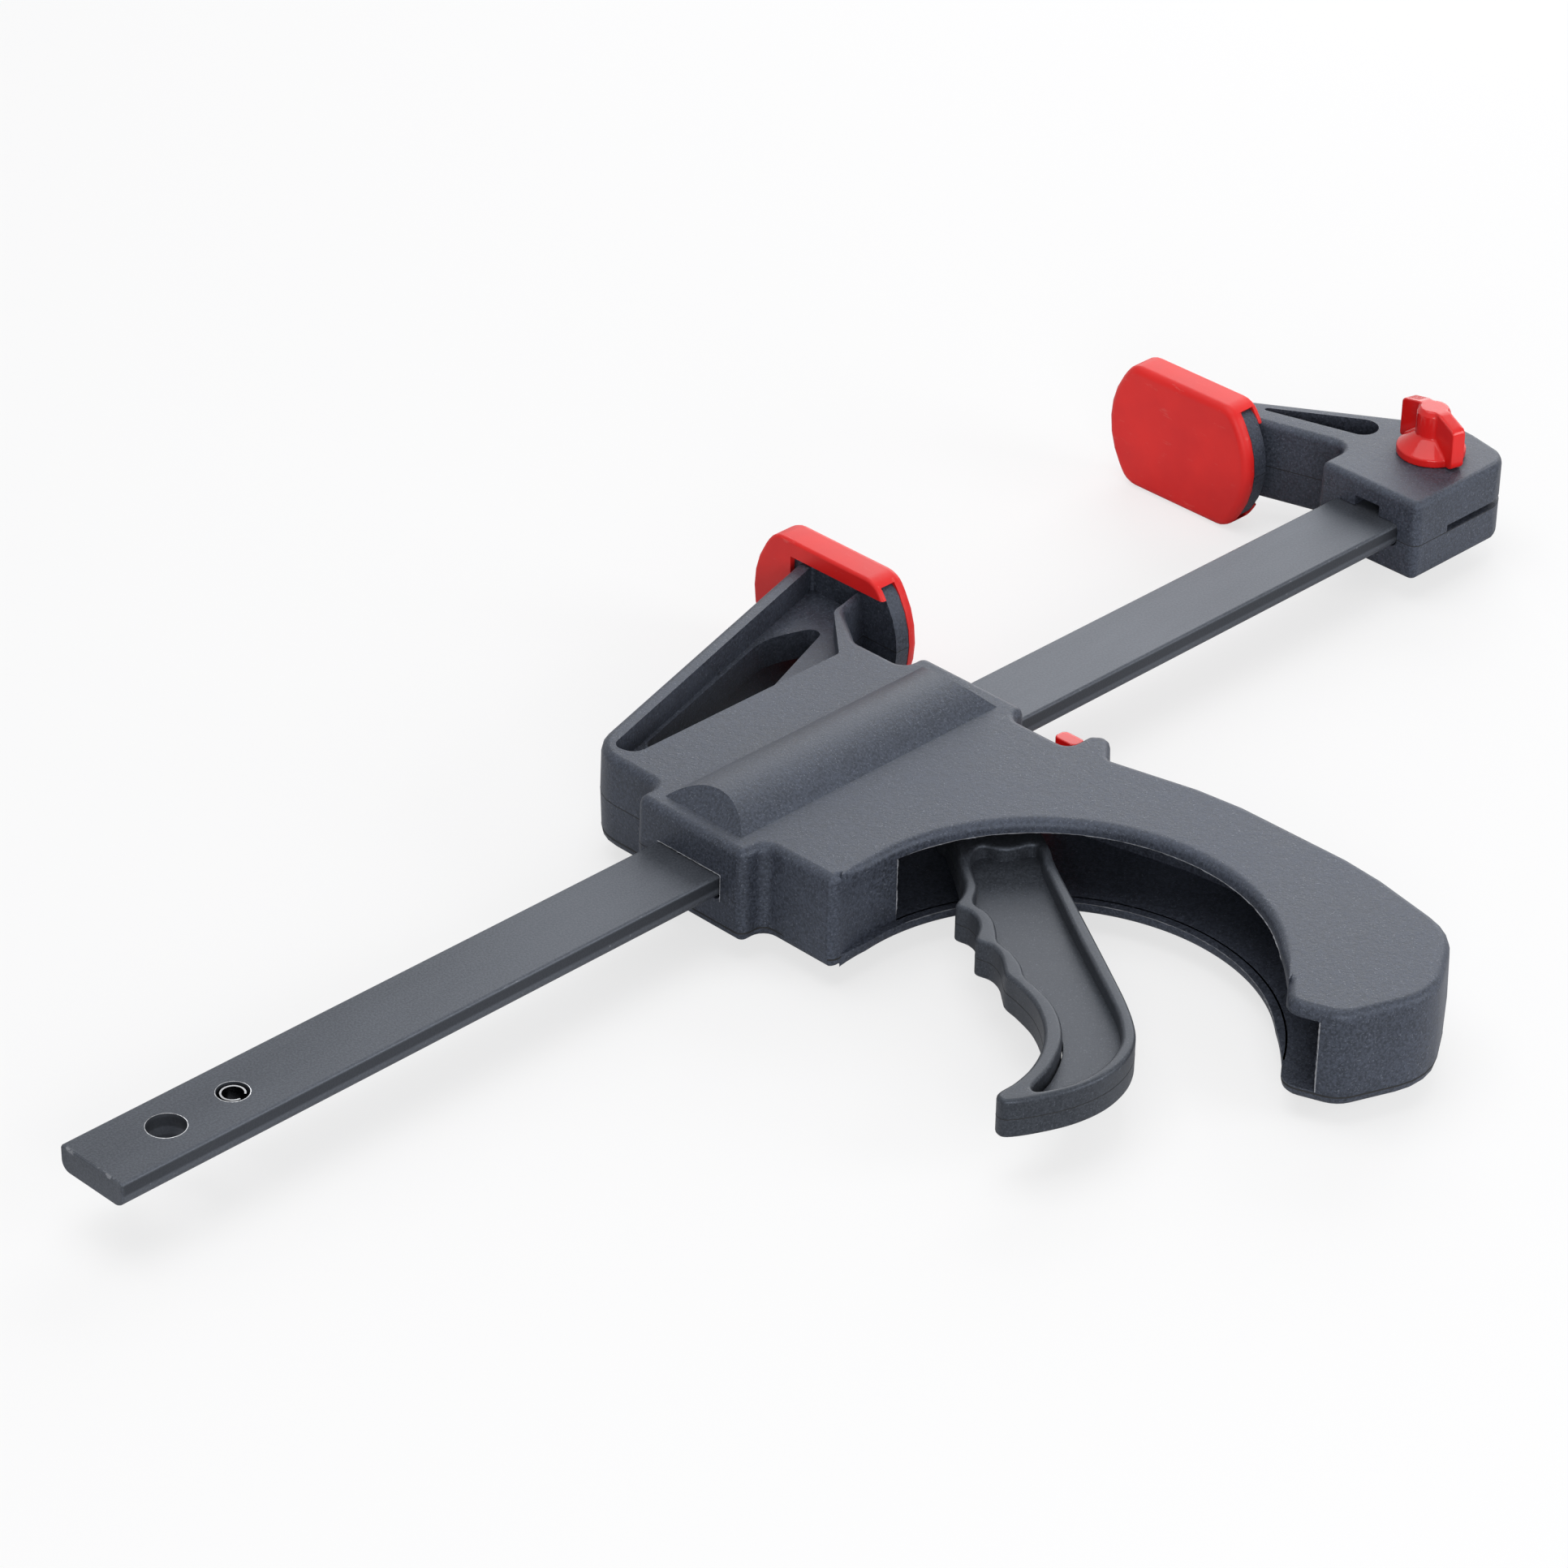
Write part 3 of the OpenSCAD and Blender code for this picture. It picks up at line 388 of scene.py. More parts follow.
@dataclass(frozen=True)
class BlackenedBar:
    """Flat bar with a dark phosphate coat, rubbed along its rounded edges and its sawn end, with painted
    shade and a painted lit band on its long sides.
    """

    name: str = "blackened_bar"
    base: Colour = (0.034, 0.038, 0.046)
    pale: Colour = (0.062, 0.068, 0.08)
    bare: Colour = (0.3, 0.31, 0.33)
    sheen: Colour = (0.76, 0.84, 1.0)
    free_end_mm: float = -19.0
    end_fade_mm: Tuple[float, float] = (0.15, 0.9)
    # Heights on the side where the band of painted light (also worn with nicks) or the paler strip under
    # the top face starts, is full, starts to fade and ends
    lit_and_worn_band_mm: Tuple[float, float, float, float] = (-2.4, -1.4, -0.4, 0.3)
    side_lip_mm: Tuple[float, float, float, float] = (2.1, 2.5, 2.93, 2.99)
    torn_mm: Tuple[float, float] = (2.0, 2.6)

    def build(self) -> bpy.types.Material:
        """Builds the finish.

        Returns:
            Its material.
        """
        g = Graph(bpy.data.materials.new(self.name))
        cloud = g.noise(0.05, 4.0, 0.6, g.stretched(0.3, 1.0, 1.0))
        grain = g.noise(2.0, 3.0, 0.6)
        drawn = g.noise(1.6, 3.0, 0.65, g.stretched(0.025, 1.0, 1.0))
        level = abs(g.facing("Z"))
        corner = level.between(0.12, 0.4, 0.62, 0.9)
        side = 1 - level.above(0.05, 0.3)
        chips = g.noise(0.55, 5.0, 0.75, g.stretched(0.25, 1.0, 1.0)).above(0.6, 0.7)
        nicks = g.noise(1.1, 4.0, 0.7, g.stretched(0.8, 0.6, 0.4)).above(0.64, 0.74)
        height = g.axis("Z")
        end = 1 - g.axis("X").above(*(self.free_end_mm + fade for fade in self.end_fade_mm))
        long_side = side * (1 - end)
        lit_and_worn_band = height.between(*self.lit_and_worn_band_mm)
        lip = height.between(*self.side_lip_mm)
        torn = end * height.above(*self.torn_mm) * g.noise(0.35, 3.0, 0.6).above(0.53, 0.6)
        wear = g.math("MINIMUM", corner * chips * 0.35 + long_side * lit_and_worn_band * nicks * 0.8
                      + lip * nicks * 0.5 + torn * 0.6, 1.0)
        mottle = grain.above(0.36, 0.66) * 0.6 + cloud.above(0.3, 0.7) * 0.4
        colour = g.blend(mottle, shade(self.base, 0.75), shade(self.pale, 1.1))
        # Painted shade: the long sides are darkened above and below the mid-height band.
        colour = g.blend(long_side * (1 - lit_and_worn_band) * 0.75, colour, shade(self.base, 0.25))
        # Painted light: the mid-height band of the long sides is made paler. The strip just under the top
        # face is made a little paler as well.
        colour = g.blend(long_side * lit_and_worn_band * 0.35 + lip * 0.25, colour, shade(self.pale, 1.2))
        colour = g.blend(wear, colour, self.bare)
        rough = 0.43 + (grain - 0.5) * 0.2 + (drawn - 0.5) * 0.06 - wear * 0.1
        dents = grain * 0.8 + drawn * 0.12 - wear * 0.5
        return g.surface(Base_Color=colour, Metallic=wear * 0.7 + 0.12, Roughness=rough,
                         Normal=g.relief(dents, 0.035), Specular_Tint=(*self.sheen, 1.0), IOR=1.5)


@dataclass(frozen=True)
class Steel:
    """Bare or plated steel with the marks of how it was made, and where asked for painted shade on faces
    that don't face up.
    """

    name: str
    base: Colour
    stain: Colour
    roughness: float
    marks_per_mm: float
    along: Tuple[float, float, float] = (0.1, 1.0, 1.0)
    # Strength of painted shade on faces that don't face up, and its near-black colour, for the shade down
    # in a hole
    painted_side_shade: float = 0.0
    side_shade_colour: Colour = (0.02, 0.021, 0.024)

    def build(self) -> bpy.types.Material:
        """Builds the finish.

        Returns:
            Its material.
        """
        g = Graph(bpy.data.materials.new(self.name))
        marks = g.noise(self.marks_per_mm, 4.0, 0.6, g.stretched(*self.along))
        cloud = g.noise(0.22, 4.0, 0.6)
        pits = 1 - g.cells(0.8).above(0.05, 0.16)
        colour = g.blend(cloud.above(0.42, 0.72) * 0.7 + pits * 0.3, self.base, self.stain)
        # Painted shade: faces that don't face up are darkened towards near black.
        if self.painted_side_shade:
            side = 1 - g.facing("Z").above(0.6, 0.95)
            colour = g.blend(side * self.painted_side_shade, colour, self.side_shade_colour)
        rough = self.roughness + (marks - 0.5) * 0.24 + (cloud - 0.5) * 0.2
        return g.surface(Base_Color=colour, Metallic=1.0, Roughness=rough,
                         Normal=g.relief(marks * 0.8 - pits * 0.5, 0.012))


@dataclass(frozen=True)
class PlainNylon:
    """Even nylon for what is too thin to show a grain: torn flash, and the near-black painted shade in the
    gap of a seam.
    """

    name: str
    base: Colour
    roughness: float

    def build(self) -> bpy.types.Material:
        """Builds the finish.

        Returns:
            Its material.
        """
        g = Graph(bpy.data.materials.new(self.name))
        patch = g.noise(0.6, 3.0, 0.6)
        colour = g.blend(patch.above(0.35, 0.65), self.base, shade(self.base, 0.45))
        return g.surface(Base_Color=colour, Roughness=self.roughness + (patch - 0.5) * 0.2)


ZINC: Tuple[Colour, Colour] = ((0.5, 0.51, 0.53), (0.3, 0.3, 0.31))
REDS: Tuple[Colour, Colour] = ((0.76, 0.017, 0.014), (0.66, 0.010, 0.010))
FLASH = PlainNylon("nylon_flash", (0.3, 0.31, 0.34), roughness=0.45)
# Near-black painted shade for the gap of a parting seam, laid on as a thin strip.
SEAM_SHADE = PlainNylon("seam_gap_shade", (0.006, 0.0065, 0.008), roughness=0.7)
# The pin's sides stand down in its hole, so they get painted shade.
ROLLED_PIN = Steel("rolled_pin", *ZINC, roughness=0.3, marks_per_mm=1.4, painted_side_shade=0.97)
FINISHES: Dict[Slot, Any] = {
    Slot.BAR: BlackenedBar(),
    Slot.PLATED: Steel("zinc_plate", *ZINC, roughness=0.3, marks_per_mm=1.4),
    Slot.HARD: Steel("hardened_plate", (0.33, 0.33, 0.34), (0.16, 0.15, 0.15), roughness=0.36,
                     marks_per_mm=1.0, along=(1.0, 1.0, 0.12)),
    Slot.SPRING: Steel("drawn_wire", (0.36, 0.36, 0.38), (0.2, 0.19, 0.19), roughness=0.3,
                       marks_per_mm=2.2, along=(1.0, 0.4, 0.4)),
    Slot.NYLON: MouldedNylon("slate_nylon"),
    Slot.TRIGGER: MouldedNylon("trigger_nylon", base=(0.0165, 0.0185, 0.0225), grain_per_mm=1.9,
                               grain_mm=0.024, roughness=0.46, fleck=0.25),
    Slot.PAD: RedPlastic("pad_red", *REDS, roughness=0.48, relief_mm=0.03, scuffs=0.6),
    Slot.RED: RedPlastic("polished_red", *REDS, roughness=0.11, relief_mm=0.02, scuffs=0.2),
}


# Mesh making


def circle_ring(centre: Vector, across: Vector, up: Vector, radius: float, sides: int) -> Ring:
    """Points round a circle in the plane of two unit vectors."""
    return [centre + (across * math.cos(a) + up * math.sin(a)) * radius
            for a in (2 * math.pi * k / sides for k in range(sides))]


def signed_area(ring: Ring) -> float:
    """Twice the area inside a level outline, above 0 where it runs anticlockwise."""
    return sum(a.x * b.y - b.x * a.y for a, b in zip(ring, ring[1:] + ring[:1]))


def placed(name: str, data: bpy.types.ID) -> bpy.types.Object:
    """Puts a new object in the scene.

    Args:
        name: its name.
        data: its mesh, curve, lamp or camera.

    Returns:
        The object.
    """
    made = bpy.data.objects.new(name, data)
    bpy.context.scene.collection.objects.link(made)
    return made


def swept(name: str, rings: Sequence[Ring], closed: bool = False,
          smooth_deg: float = 50.0) -> bpy.types.Object:
    """Skin over rings that all have the same number of points.

    Args:
        name: the new object's name.
        rings: the rings, in metres, in order along the sweep.
        closed: whether the last ring joins the first; otherwise both ends are capped.
        smooth_deg: edges sharper than this stay sharp.

    Returns:
        The object.
    """
    mesh = bmesh.new()
    rows = [[mesh.verts.new(p) for p in ring] for ring in rings]
    count = len(rows[0])
    for i in range(len(rows) if closed else len(rows) - 1):
        row, following = rows[i], rows[(i + 1) % len(rows)]
        for k in range(count):
            j = (k + 1) % count
            mesh.faces.new((row[k], row[j], following[j], following[k]))
    if not closed:
        mesh.faces.new(reversed(rows[0]))
        mesh.faces.new(rows[-1])
    bmesh.ops.recalc_face_normals(mesh, faces=mesh.faces)
    return finished(name, mesh, smooth_deg)


def finished(name: str, mesh: bmesh.types.BMesh, smooth_deg: float) -> bpy.types.Object:
    """Turns a mesh under work into an object in the scene.

    Args:
        name: the new object's name.
        mesh: the mesh, which is freed.
        smooth_deg: edges sharper than this stay sharp.

    Returns:
        The object, smooth but for its sharp edges.
    """
    data = bpy.data.meshes.new(name)
    mesh.to_mesh(data)
    mesh.free()
    data.polygons.foreach_set("use_smooth", [True] * len(data.polygons))
    data.set_sharp_from_angle(angle=math.radians(smooth_deg))
    return placed(name, data)


def applied(source: bpy.types.Object) -> bpy.types.Object:
    """Fixes an object's modifiers into its mesh.

    Args:
        source: the object.

    Returns:
        The same object.
    """
    graph = bpy.context.evaluated_depsgraph_get()
    data = bpy.data.meshes.new_from_object(source.evaluated_get(graph), depsgraph=graph)
    source.modifiers.clear()
    old, source.data = source.data, data
    bpy.data.meshes.remove(old)
    return source


def welded(source: bpy.types.Object) -> bmesh.types.BMesh:
    """An object's mesh for working on, with its split corners joined.

    Args:
        source: the object.

    Returns:
        The mesh.
    """
    mesh = bmesh.new()
    mesh.from_mesh(source.data)
    bmesh.ops.remove_doubles(mesh, verts=mesh.verts, dist=WELD_MM * MM)
    return mesh


def welded_copy(source: bpy.types.Object, name: str) -> bpy.types.Object:
    """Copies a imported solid.

    Args:
        source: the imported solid.
        name: the copy's name.

    Returns:
        The copy, its split corners joined and its flat facets merged.
    """
    mesh = welded(source)
    bmesh.ops.dissolve_limit(mesh, angle_limit=math.radians(FLAT_DEG), verts=mesh.verts,
                             edges=mesh.edges)
    return finished(name, mesh, SHARP_DEG)


def cut_away(made: bpy.types.Object, cutters: Sequence[bpy.types.Object]) -> bpy.types.Object:
    """Takes cutters off an object, and the cutters out of the scene.

    Args:
        made: the object.
        cutters: the shapes to cut off, if any.

    Returns:
        The same object.
    """
    for cutter in cutters:
        cut = made.modifiers.new(cutter.name, "BOOLEAN")
        cut.operation = "DIFFERENCE"
        cut.solver = "EXACT"
        cut.object = cutter
    if cutters:
        applied(made)
        made.data.set_sharp_from_angle(angle=math.radians(SHARP_DEG))
    for cutter in cutters:
        bpy.data.meshes.remove(cutter.data)
    return made


def flat_shaded(made: bpy.types.Object) -> bpy.types.Object:
    """Fixes an object's modifiers into its mesh, and shades its flats flat beside its roundings.

    Args:
        made: the object.

    Returns:
        The same object.
    """
    level = made.modifiers.new("flats", "WEIGHTED_NORMAL")
    level.keep_sharp = True
    return applied(made)


def edged(made: bpy.types.Object, radius_mm: float, limit_deg: float = 42.0) -> bpy.types.Object:
    """Gives an object's sharp edges a small real radius.

    Args:
        made: the object.
        radius_mm: width of the rounding.
        limit_deg: edges that turn by less stay as they are.

    Returns:
        The same object.
    """
    round_off = made.modifiers.new("edges", "BEVEL")
    round_off.width = radius_mm * MM
    round_off.segments = 2
    round_off.limit_method = "ANGLE"
    round_off.angle_limit = math.radians(limit_deg)
    round_off.use_clamp_overlap = True
    round_off.miter_outer = "MITER_ARC"
    return flat_shaded(made)


def corner_cutter(name: str, corner: Vector, walls: Tuple[Vector, Vector], radius_mm: float,
                  half_mm: float, edge_mm: float, clear_mm: float = 1.0) -> bpy.types.Object:
    """Upright cutter that rounds the corner between two walls, and the edges above and below it.

    Args:
        name: the new object's name.
        corner: the corner in plan, in millimetres.
        walls: unit vectors from the corner along the two walls.
        radius_mm: radius that is left.
        half_mm: half the height of the block that it cuts, about Z = 0.
        edge_mm: radius of the block's upper and lower edges.
        clear_mm: how far the cutter stands out of the block above and below.

    Returns:
        The cutter.
    """
    half_angle = walls[0].angle(walls[1]) / 2
    reach = radius_mm / math.tan(half_angle)
    inward = (walls[0] + walls[1]).normalized()
    middle = corner + inward * radius_mm / math.sin(half_angle)
    start, end = ((corner + wall * reach - middle).normalized() for wall in walls)
    onward, outward, steps = 2.5 * clear_mm, 0.6 * clear_mm, 10
    exits = [corner + wall * (reach + onward)
             - (inward - wall * inward.dot(wall)).normalized() * outward for wall in walls]
    upper = [(half_mm - edge_mm * (1 - math.sin(a)), edge_mm * (1 - math.cos(a))) for a in QUARTER]
    upper.append((half_mm + clear_mm, edge_mm))
    rings = []
    for z, inset in [(-z, inset) for z, inset in reversed(upper)] + upper:
        arc = [middle + start.slerp(end, k / steps) * (radius_mm - inset) for k in range(steps + 1)]
        plan = [exits[0], *arc, exits[1], corner - inward * radius_mm * 2]
        rings.append([Vector((p.x, p.y, z)) * MM for p in plan])
    return swept(name, rings)


def rounded_plate(name: str, outlines: Sequence[Ring], half_mm: float, edge_mm: float) -> bpy.types.Object:
    """Level plate about Z = 0 with rounded edges, as a moulding or a stamping has.

    Args:
        name: the new object's name.
        outlines: the outline and then its holes, in millimetres.
        half_mm: half the plate's thickness.
        edge_mm: radius of its edges.

    Returns:
        The plate.
    """
    curve = bpy.data.curves.new(name, "CURVE")
    curve.dimensions = "2D"
    curve.fill_mode = "BOTH"
    curve.extrude = (half_mm - edge_mm) * MM
    curve.bevel_depth = edge_mm * MM
    curve.bevel_resolution = 3
    curve.offset = -edge_mm * MM
    for outline in outlines:
        spline = curve.splines.new("POLY")
        spline.points.add(len(outline) - 1)
        spline.use_cyclic_u = True
        for point, place in zip(spline.points, outline):
            point.co = (place.x * MM, place.y * MM, 0.0, 1.0)
    shaper = placed(name, curve)
    graph = bpy.context.evaluated_depsgraph_get()
    mesh = bmesh.new()
    mesh.from_mesh(shaper.evaluated_get(graph).to_mesh())
    bpy.data.objects.remove(shaper)
    bmesh.ops.remove_doubles(mesh, verts=mesh.verts, dist=CURVE_WELD_MM * MM)
    return flat_shaded(finished(name, mesh, 35.0))


def flowing(points: Sequence[Tuple[float, float]], steps: int = 6, closed: bool = False) -> Ring:
    """Smooth line in plan.

    Args:
        points: points that it passes.
        steps: points of the line from each of these to the next.
        closed: whether it comes back to the first.

    Returns:
        The line.
    """
    knots = [Vector((x, y, 0.0)) for x, y in points]
    count = len(knots)
    line: Ring = []
    for i in range(count if closed else count - 1):
        near = [knots[(i + k) % count] if closed else knots[min(max(i + k, 0), count - 1)]
                for k in (-1, 0, 1, 2)]
        for k in range(steps):
            t = k / steps
            line.append(0.5 * (2 * near[1] + (near[2] - near[0]) * t
                               + (2 * near[0] - 5 * near[1] + 4 * near[2] - near[3]) * t ** 2
                               + (3 * near[1] - near[0] - 3 * near[2] + near[3]) * t ** 3))
    return line if closed else line + [knots[-1]]


def joined(name: str, parts: Sequence[bpy.types.Object]) -> bpy.types.Object:
    """Makes one object out of several.

    Args:
        name: the new object's name.
        parts: the objects, which are taken out of the scene.

    Returns:
        The new object.
    """
    mesh = bmesh.new()
    for part in parts:
        mesh.from_mesh(part.data)
        bpy.data.meshes.remove(part.data)
    return finished(name, mesh, 35.0)


def melted_skin(source: bpy.types.Object, name: str, cell_mm: float, passes: int,
                keep: float) -> bpy.types.Object:
    """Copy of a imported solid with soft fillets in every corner, as a glossy moulding has.

    Args:
        source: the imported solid.
        name: the copy's name.
        cell_mm: size of the cells that it is rebuilt from.
        passes: smoothing passes; more make larger fillets.
        keep: share of the faces that is kept at the end.

    Returns:
        The copy.
    """
    made = welded_copy(source, name)
    rebuild = made.modifiers.new("cells", "REMESH")
    rebuild.mode = "VOXEL"
    rebuild.voxel_size = cell_mm * MM
    rebuild.use_smooth_shade = True
    soften = made.modifiers.new("fillets", "SMOOTH")
    soften.factor = 0.5
    soften.iterations = passes
    lighten = made.modifiers.new("fewer", "DECIMATE")
    lighten.ratio = keep
    made = applied(made)
    made.data.polygons.foreach_set("use_smooth", [True] * len(made.data.polygons))
    return made


def slices(source: bpy.types.Object, height_mm: float) -> List[Ring]:
    """Outlines of an object where a level plane cuts it.

    Args:
        source: the object.
        height_mm: the plane's height.

    Returns:
        The closed outlines, the longest first.
    """
    mesh = welded(source)
    bmesh.ops.bisect_plane(mesh, geom=[*mesh.verts, *mesh.edges, *mesh.faces],
                           plane_co=(0, 0, height_mm * MM), plane_no=(0, 0, 1),
                           clear_inner=True, clear_outer=True)
    loops: List[Ring] = []
    unused = set(mesh.verts)
    while unused:
        start = min(unused, key=lambda v: (v.co.x, v.co.y))
        path, at = [start], start
        unused.discard(start)
        while True:
            onward = [e.other_vert(at) for e in at.link_edges if e.other_vert(at) in unused]
            if not onward:
                break
            at = min(onward, key=lambda v: (v.co.x, v.co.y))
            unused.discard(at)
            path.append(at)
        if len(path) > 8 and any(e.other_vert(at) is start for e in at.link_edges):
            loops.append([v.co.copy() for v in path])
    mesh.free()
    loops.sort(key=lambda ring: -sum((a - b).length for a, b in zip(ring, ring[1:] + ring[:1])))
    return loops


def thinned(ring: Ring, gap_mm: float) -> Ring:
    """Leaves out a ring's crowded points.

    Args:
        ring: the ring, in metres.
        gap_mm: least distance between one point and the next.

    Returns:
        The points that are kept.
    """
    kept = [ring[0]]
    for point in ring[1:]:
        if (point - kept[-1]).length > gap_mm * MM:
            kept.append(point)
    return kept


def ridge(name: str, path: Ring, half_mm: float, root_mm: float = 0.1) -> bpy.types.Object:
    """Thin strip that runs along a closed outline, where it carries the painted shade of a seam's gap.

    Args:
        name: the new object's name.
        path: the outline, level in Z.
        half_mm: half the strip's width.
        root_mm: how deep it stands in the surface.

    Returns:
        The object.
    """
    turn = 1.0 if signed_area(path) > 0 else -1.0
    up = UP * half_mm * MM
    rings = []
    for i, point in enumerate(path):
        along = (path[(i + 1) % len(path)] - path[i - 1]).normalized()
        out = Vector((along.y, -along.x, 0.0)) * turn
        foot, top = point - out * root_mm * MM, point + out * SEAM_PROUD_MM * MM
        rings.append([foot + up, top + up, top - up, foot - up])
    return swept(name, rings, closed=True, smooth_deg=20.0)


def ragged_fin(name: str, path: Ring, inward: Callable[[Vector], Vector], reach_mm: Tuple[float, float],
               thick_mm: float, seed: int, across: Vector = UP) -> bpy.types.Object:
    """Thin torn fin of flash along an edge.

    Args:
        name: the new object's name.
        path: the edge.
        inward: direction in which the fin stands out at a point, of length 1.
        reach_mm: least and most that it stands out.
        thick_mm: its thickness.
        seed: seed of its ragged outline.
        across: unit vector along its thickness.

    Returns:
        The object.
    """
    draw = random.Random(seed)
    follow_shares = (0.25, 0.5, 1.0)  # how much of the way to its next length the fin goes at a point
    fading_points, least_share, root_mm, tip_share = 6, 0.08, 0.25, 0.5
    rings, reach = [], sum(reach_mm) / 2
    for i, point in enumerate(path):
        reach += (draw.uniform(*reach_mm) - reach) * draw.choice(follow_shares)
        fade = min(1.0, i / fading_points, (len(path) - 1 - i) / fading_points)
        way = inward(point)
        tip = point + way * reach * MM * max(fade, least_share)
        back = point - way * root_mm * MM
        half = across * (thick_mm * MM / 2)
        rings.append([back - half, back + half, tip + half * tip_share, tip - half * tip_share])
    return swept(name, rings, smooth_deg=25.0)


# Sub-assemblies


@dataclass
class Bench:
    """What every sub-assembly works with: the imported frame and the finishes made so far."""

    frame: Dict[str, Any]
    made: Dict[Slot, bpy.types.Material] = field(default_factory=dict)

    def node(self, name: str) -> bpy.types.Object:
        """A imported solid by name."""
        return self.frame["nodes"][name]

    def box(self, name: str) -> Tuple[Vector, Vector]:
        """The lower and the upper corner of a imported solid's box, in millimetres."""
        low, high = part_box(name)
        return low / MM, high / MM

    def finish(self, slot: Slot) -> bpy.types.Material:
        """Builds the material of a slot when it is first asked for.

        Args:
            slot: the slot.

        Returns:
            Its material.
        """
        if slot not in self.made:
            self.made[slot] = FINISHES[slot].build()
        return self.made[slot]

    def dress(self, name: str, slot: Slot) -> None:
        """Puts a slot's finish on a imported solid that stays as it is.

        Args:
            name: the solid.
            slot: the slot.
        """
        solid = self.node(name)
        if not solid.material_slots:
            solid.data.materials.append(None)
        for holder in solid.material_slots:
            holder.material = self.finish(slot)
        LOG.info("solid %s: %s", name, slot.value)

    def mount(self, piece: bpy.types.Object, body: Body, slot: Slot, *nodes: str,
              finish: Optional[Any] = None) -> bpy.types.Object:
        """Finishes a new piece and hands it to its body.

        Args:
            piece: the new piece, in its place.
            body: the body that it moves with.
            slot: the slot of its finish.
            *nodes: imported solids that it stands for.
            finish: a finish of its own inside the slot.

        Returns:
            The piece.
        """
        piece.data.materials.clear()
        if finish is not None and finish.name not in bpy.data.materials:
            finish.build()
        piece.data.materials.append(bpy.data.materials[finish.name] if finish else self.finish(slot))
        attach(piece, body.value)
        if nodes:
            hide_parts(*nodes)
        LOG.info("piece %s: rides %s, %d faces", piece.name, body.value, len(piece.data.polygons))
        return piece

    def skin(self, node: str, body: Body, slot: Slot, radius_mm: float,
             cutters: Sequence[bpy.types.Object] = ()) -> bpy.types.Object:
        """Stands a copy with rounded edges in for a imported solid.

        Args:
            node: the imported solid.
            body: the body that it moves with.
            slot: the slot of its finish.
            radius_mm: width of the rounding.
            cutters: shapes that are cut off first, such as a larger rounding.

        Returns:
            The copy.
        """
        copy = cut_away(welded_copy(self.node(node), f"{node}_skin"), cutters)
        return self.mount(edged(copy, radius_mm), body, slot, node)

    def seam(self, name: str, outline: Ring, body: Body, slot: Slot, half_mm: float,
             gap_mm: float = 0.4) -> None:
        """Lays a thin line of painted shade along a piece's outline, for the dark gap of a seam.

        Args:
            name: the line's name.
            outline: the outline, level in Z.
            body: the body that it moves with.
            slot: the slot of the piece that it lies on.
            half_mm: half its width.
            gap_mm: least distance between its points.
        """
        self.mount(ridge(name, thinned(outline, gap_mm), half_mm), body, slot, finish=SEAM_SHADE)


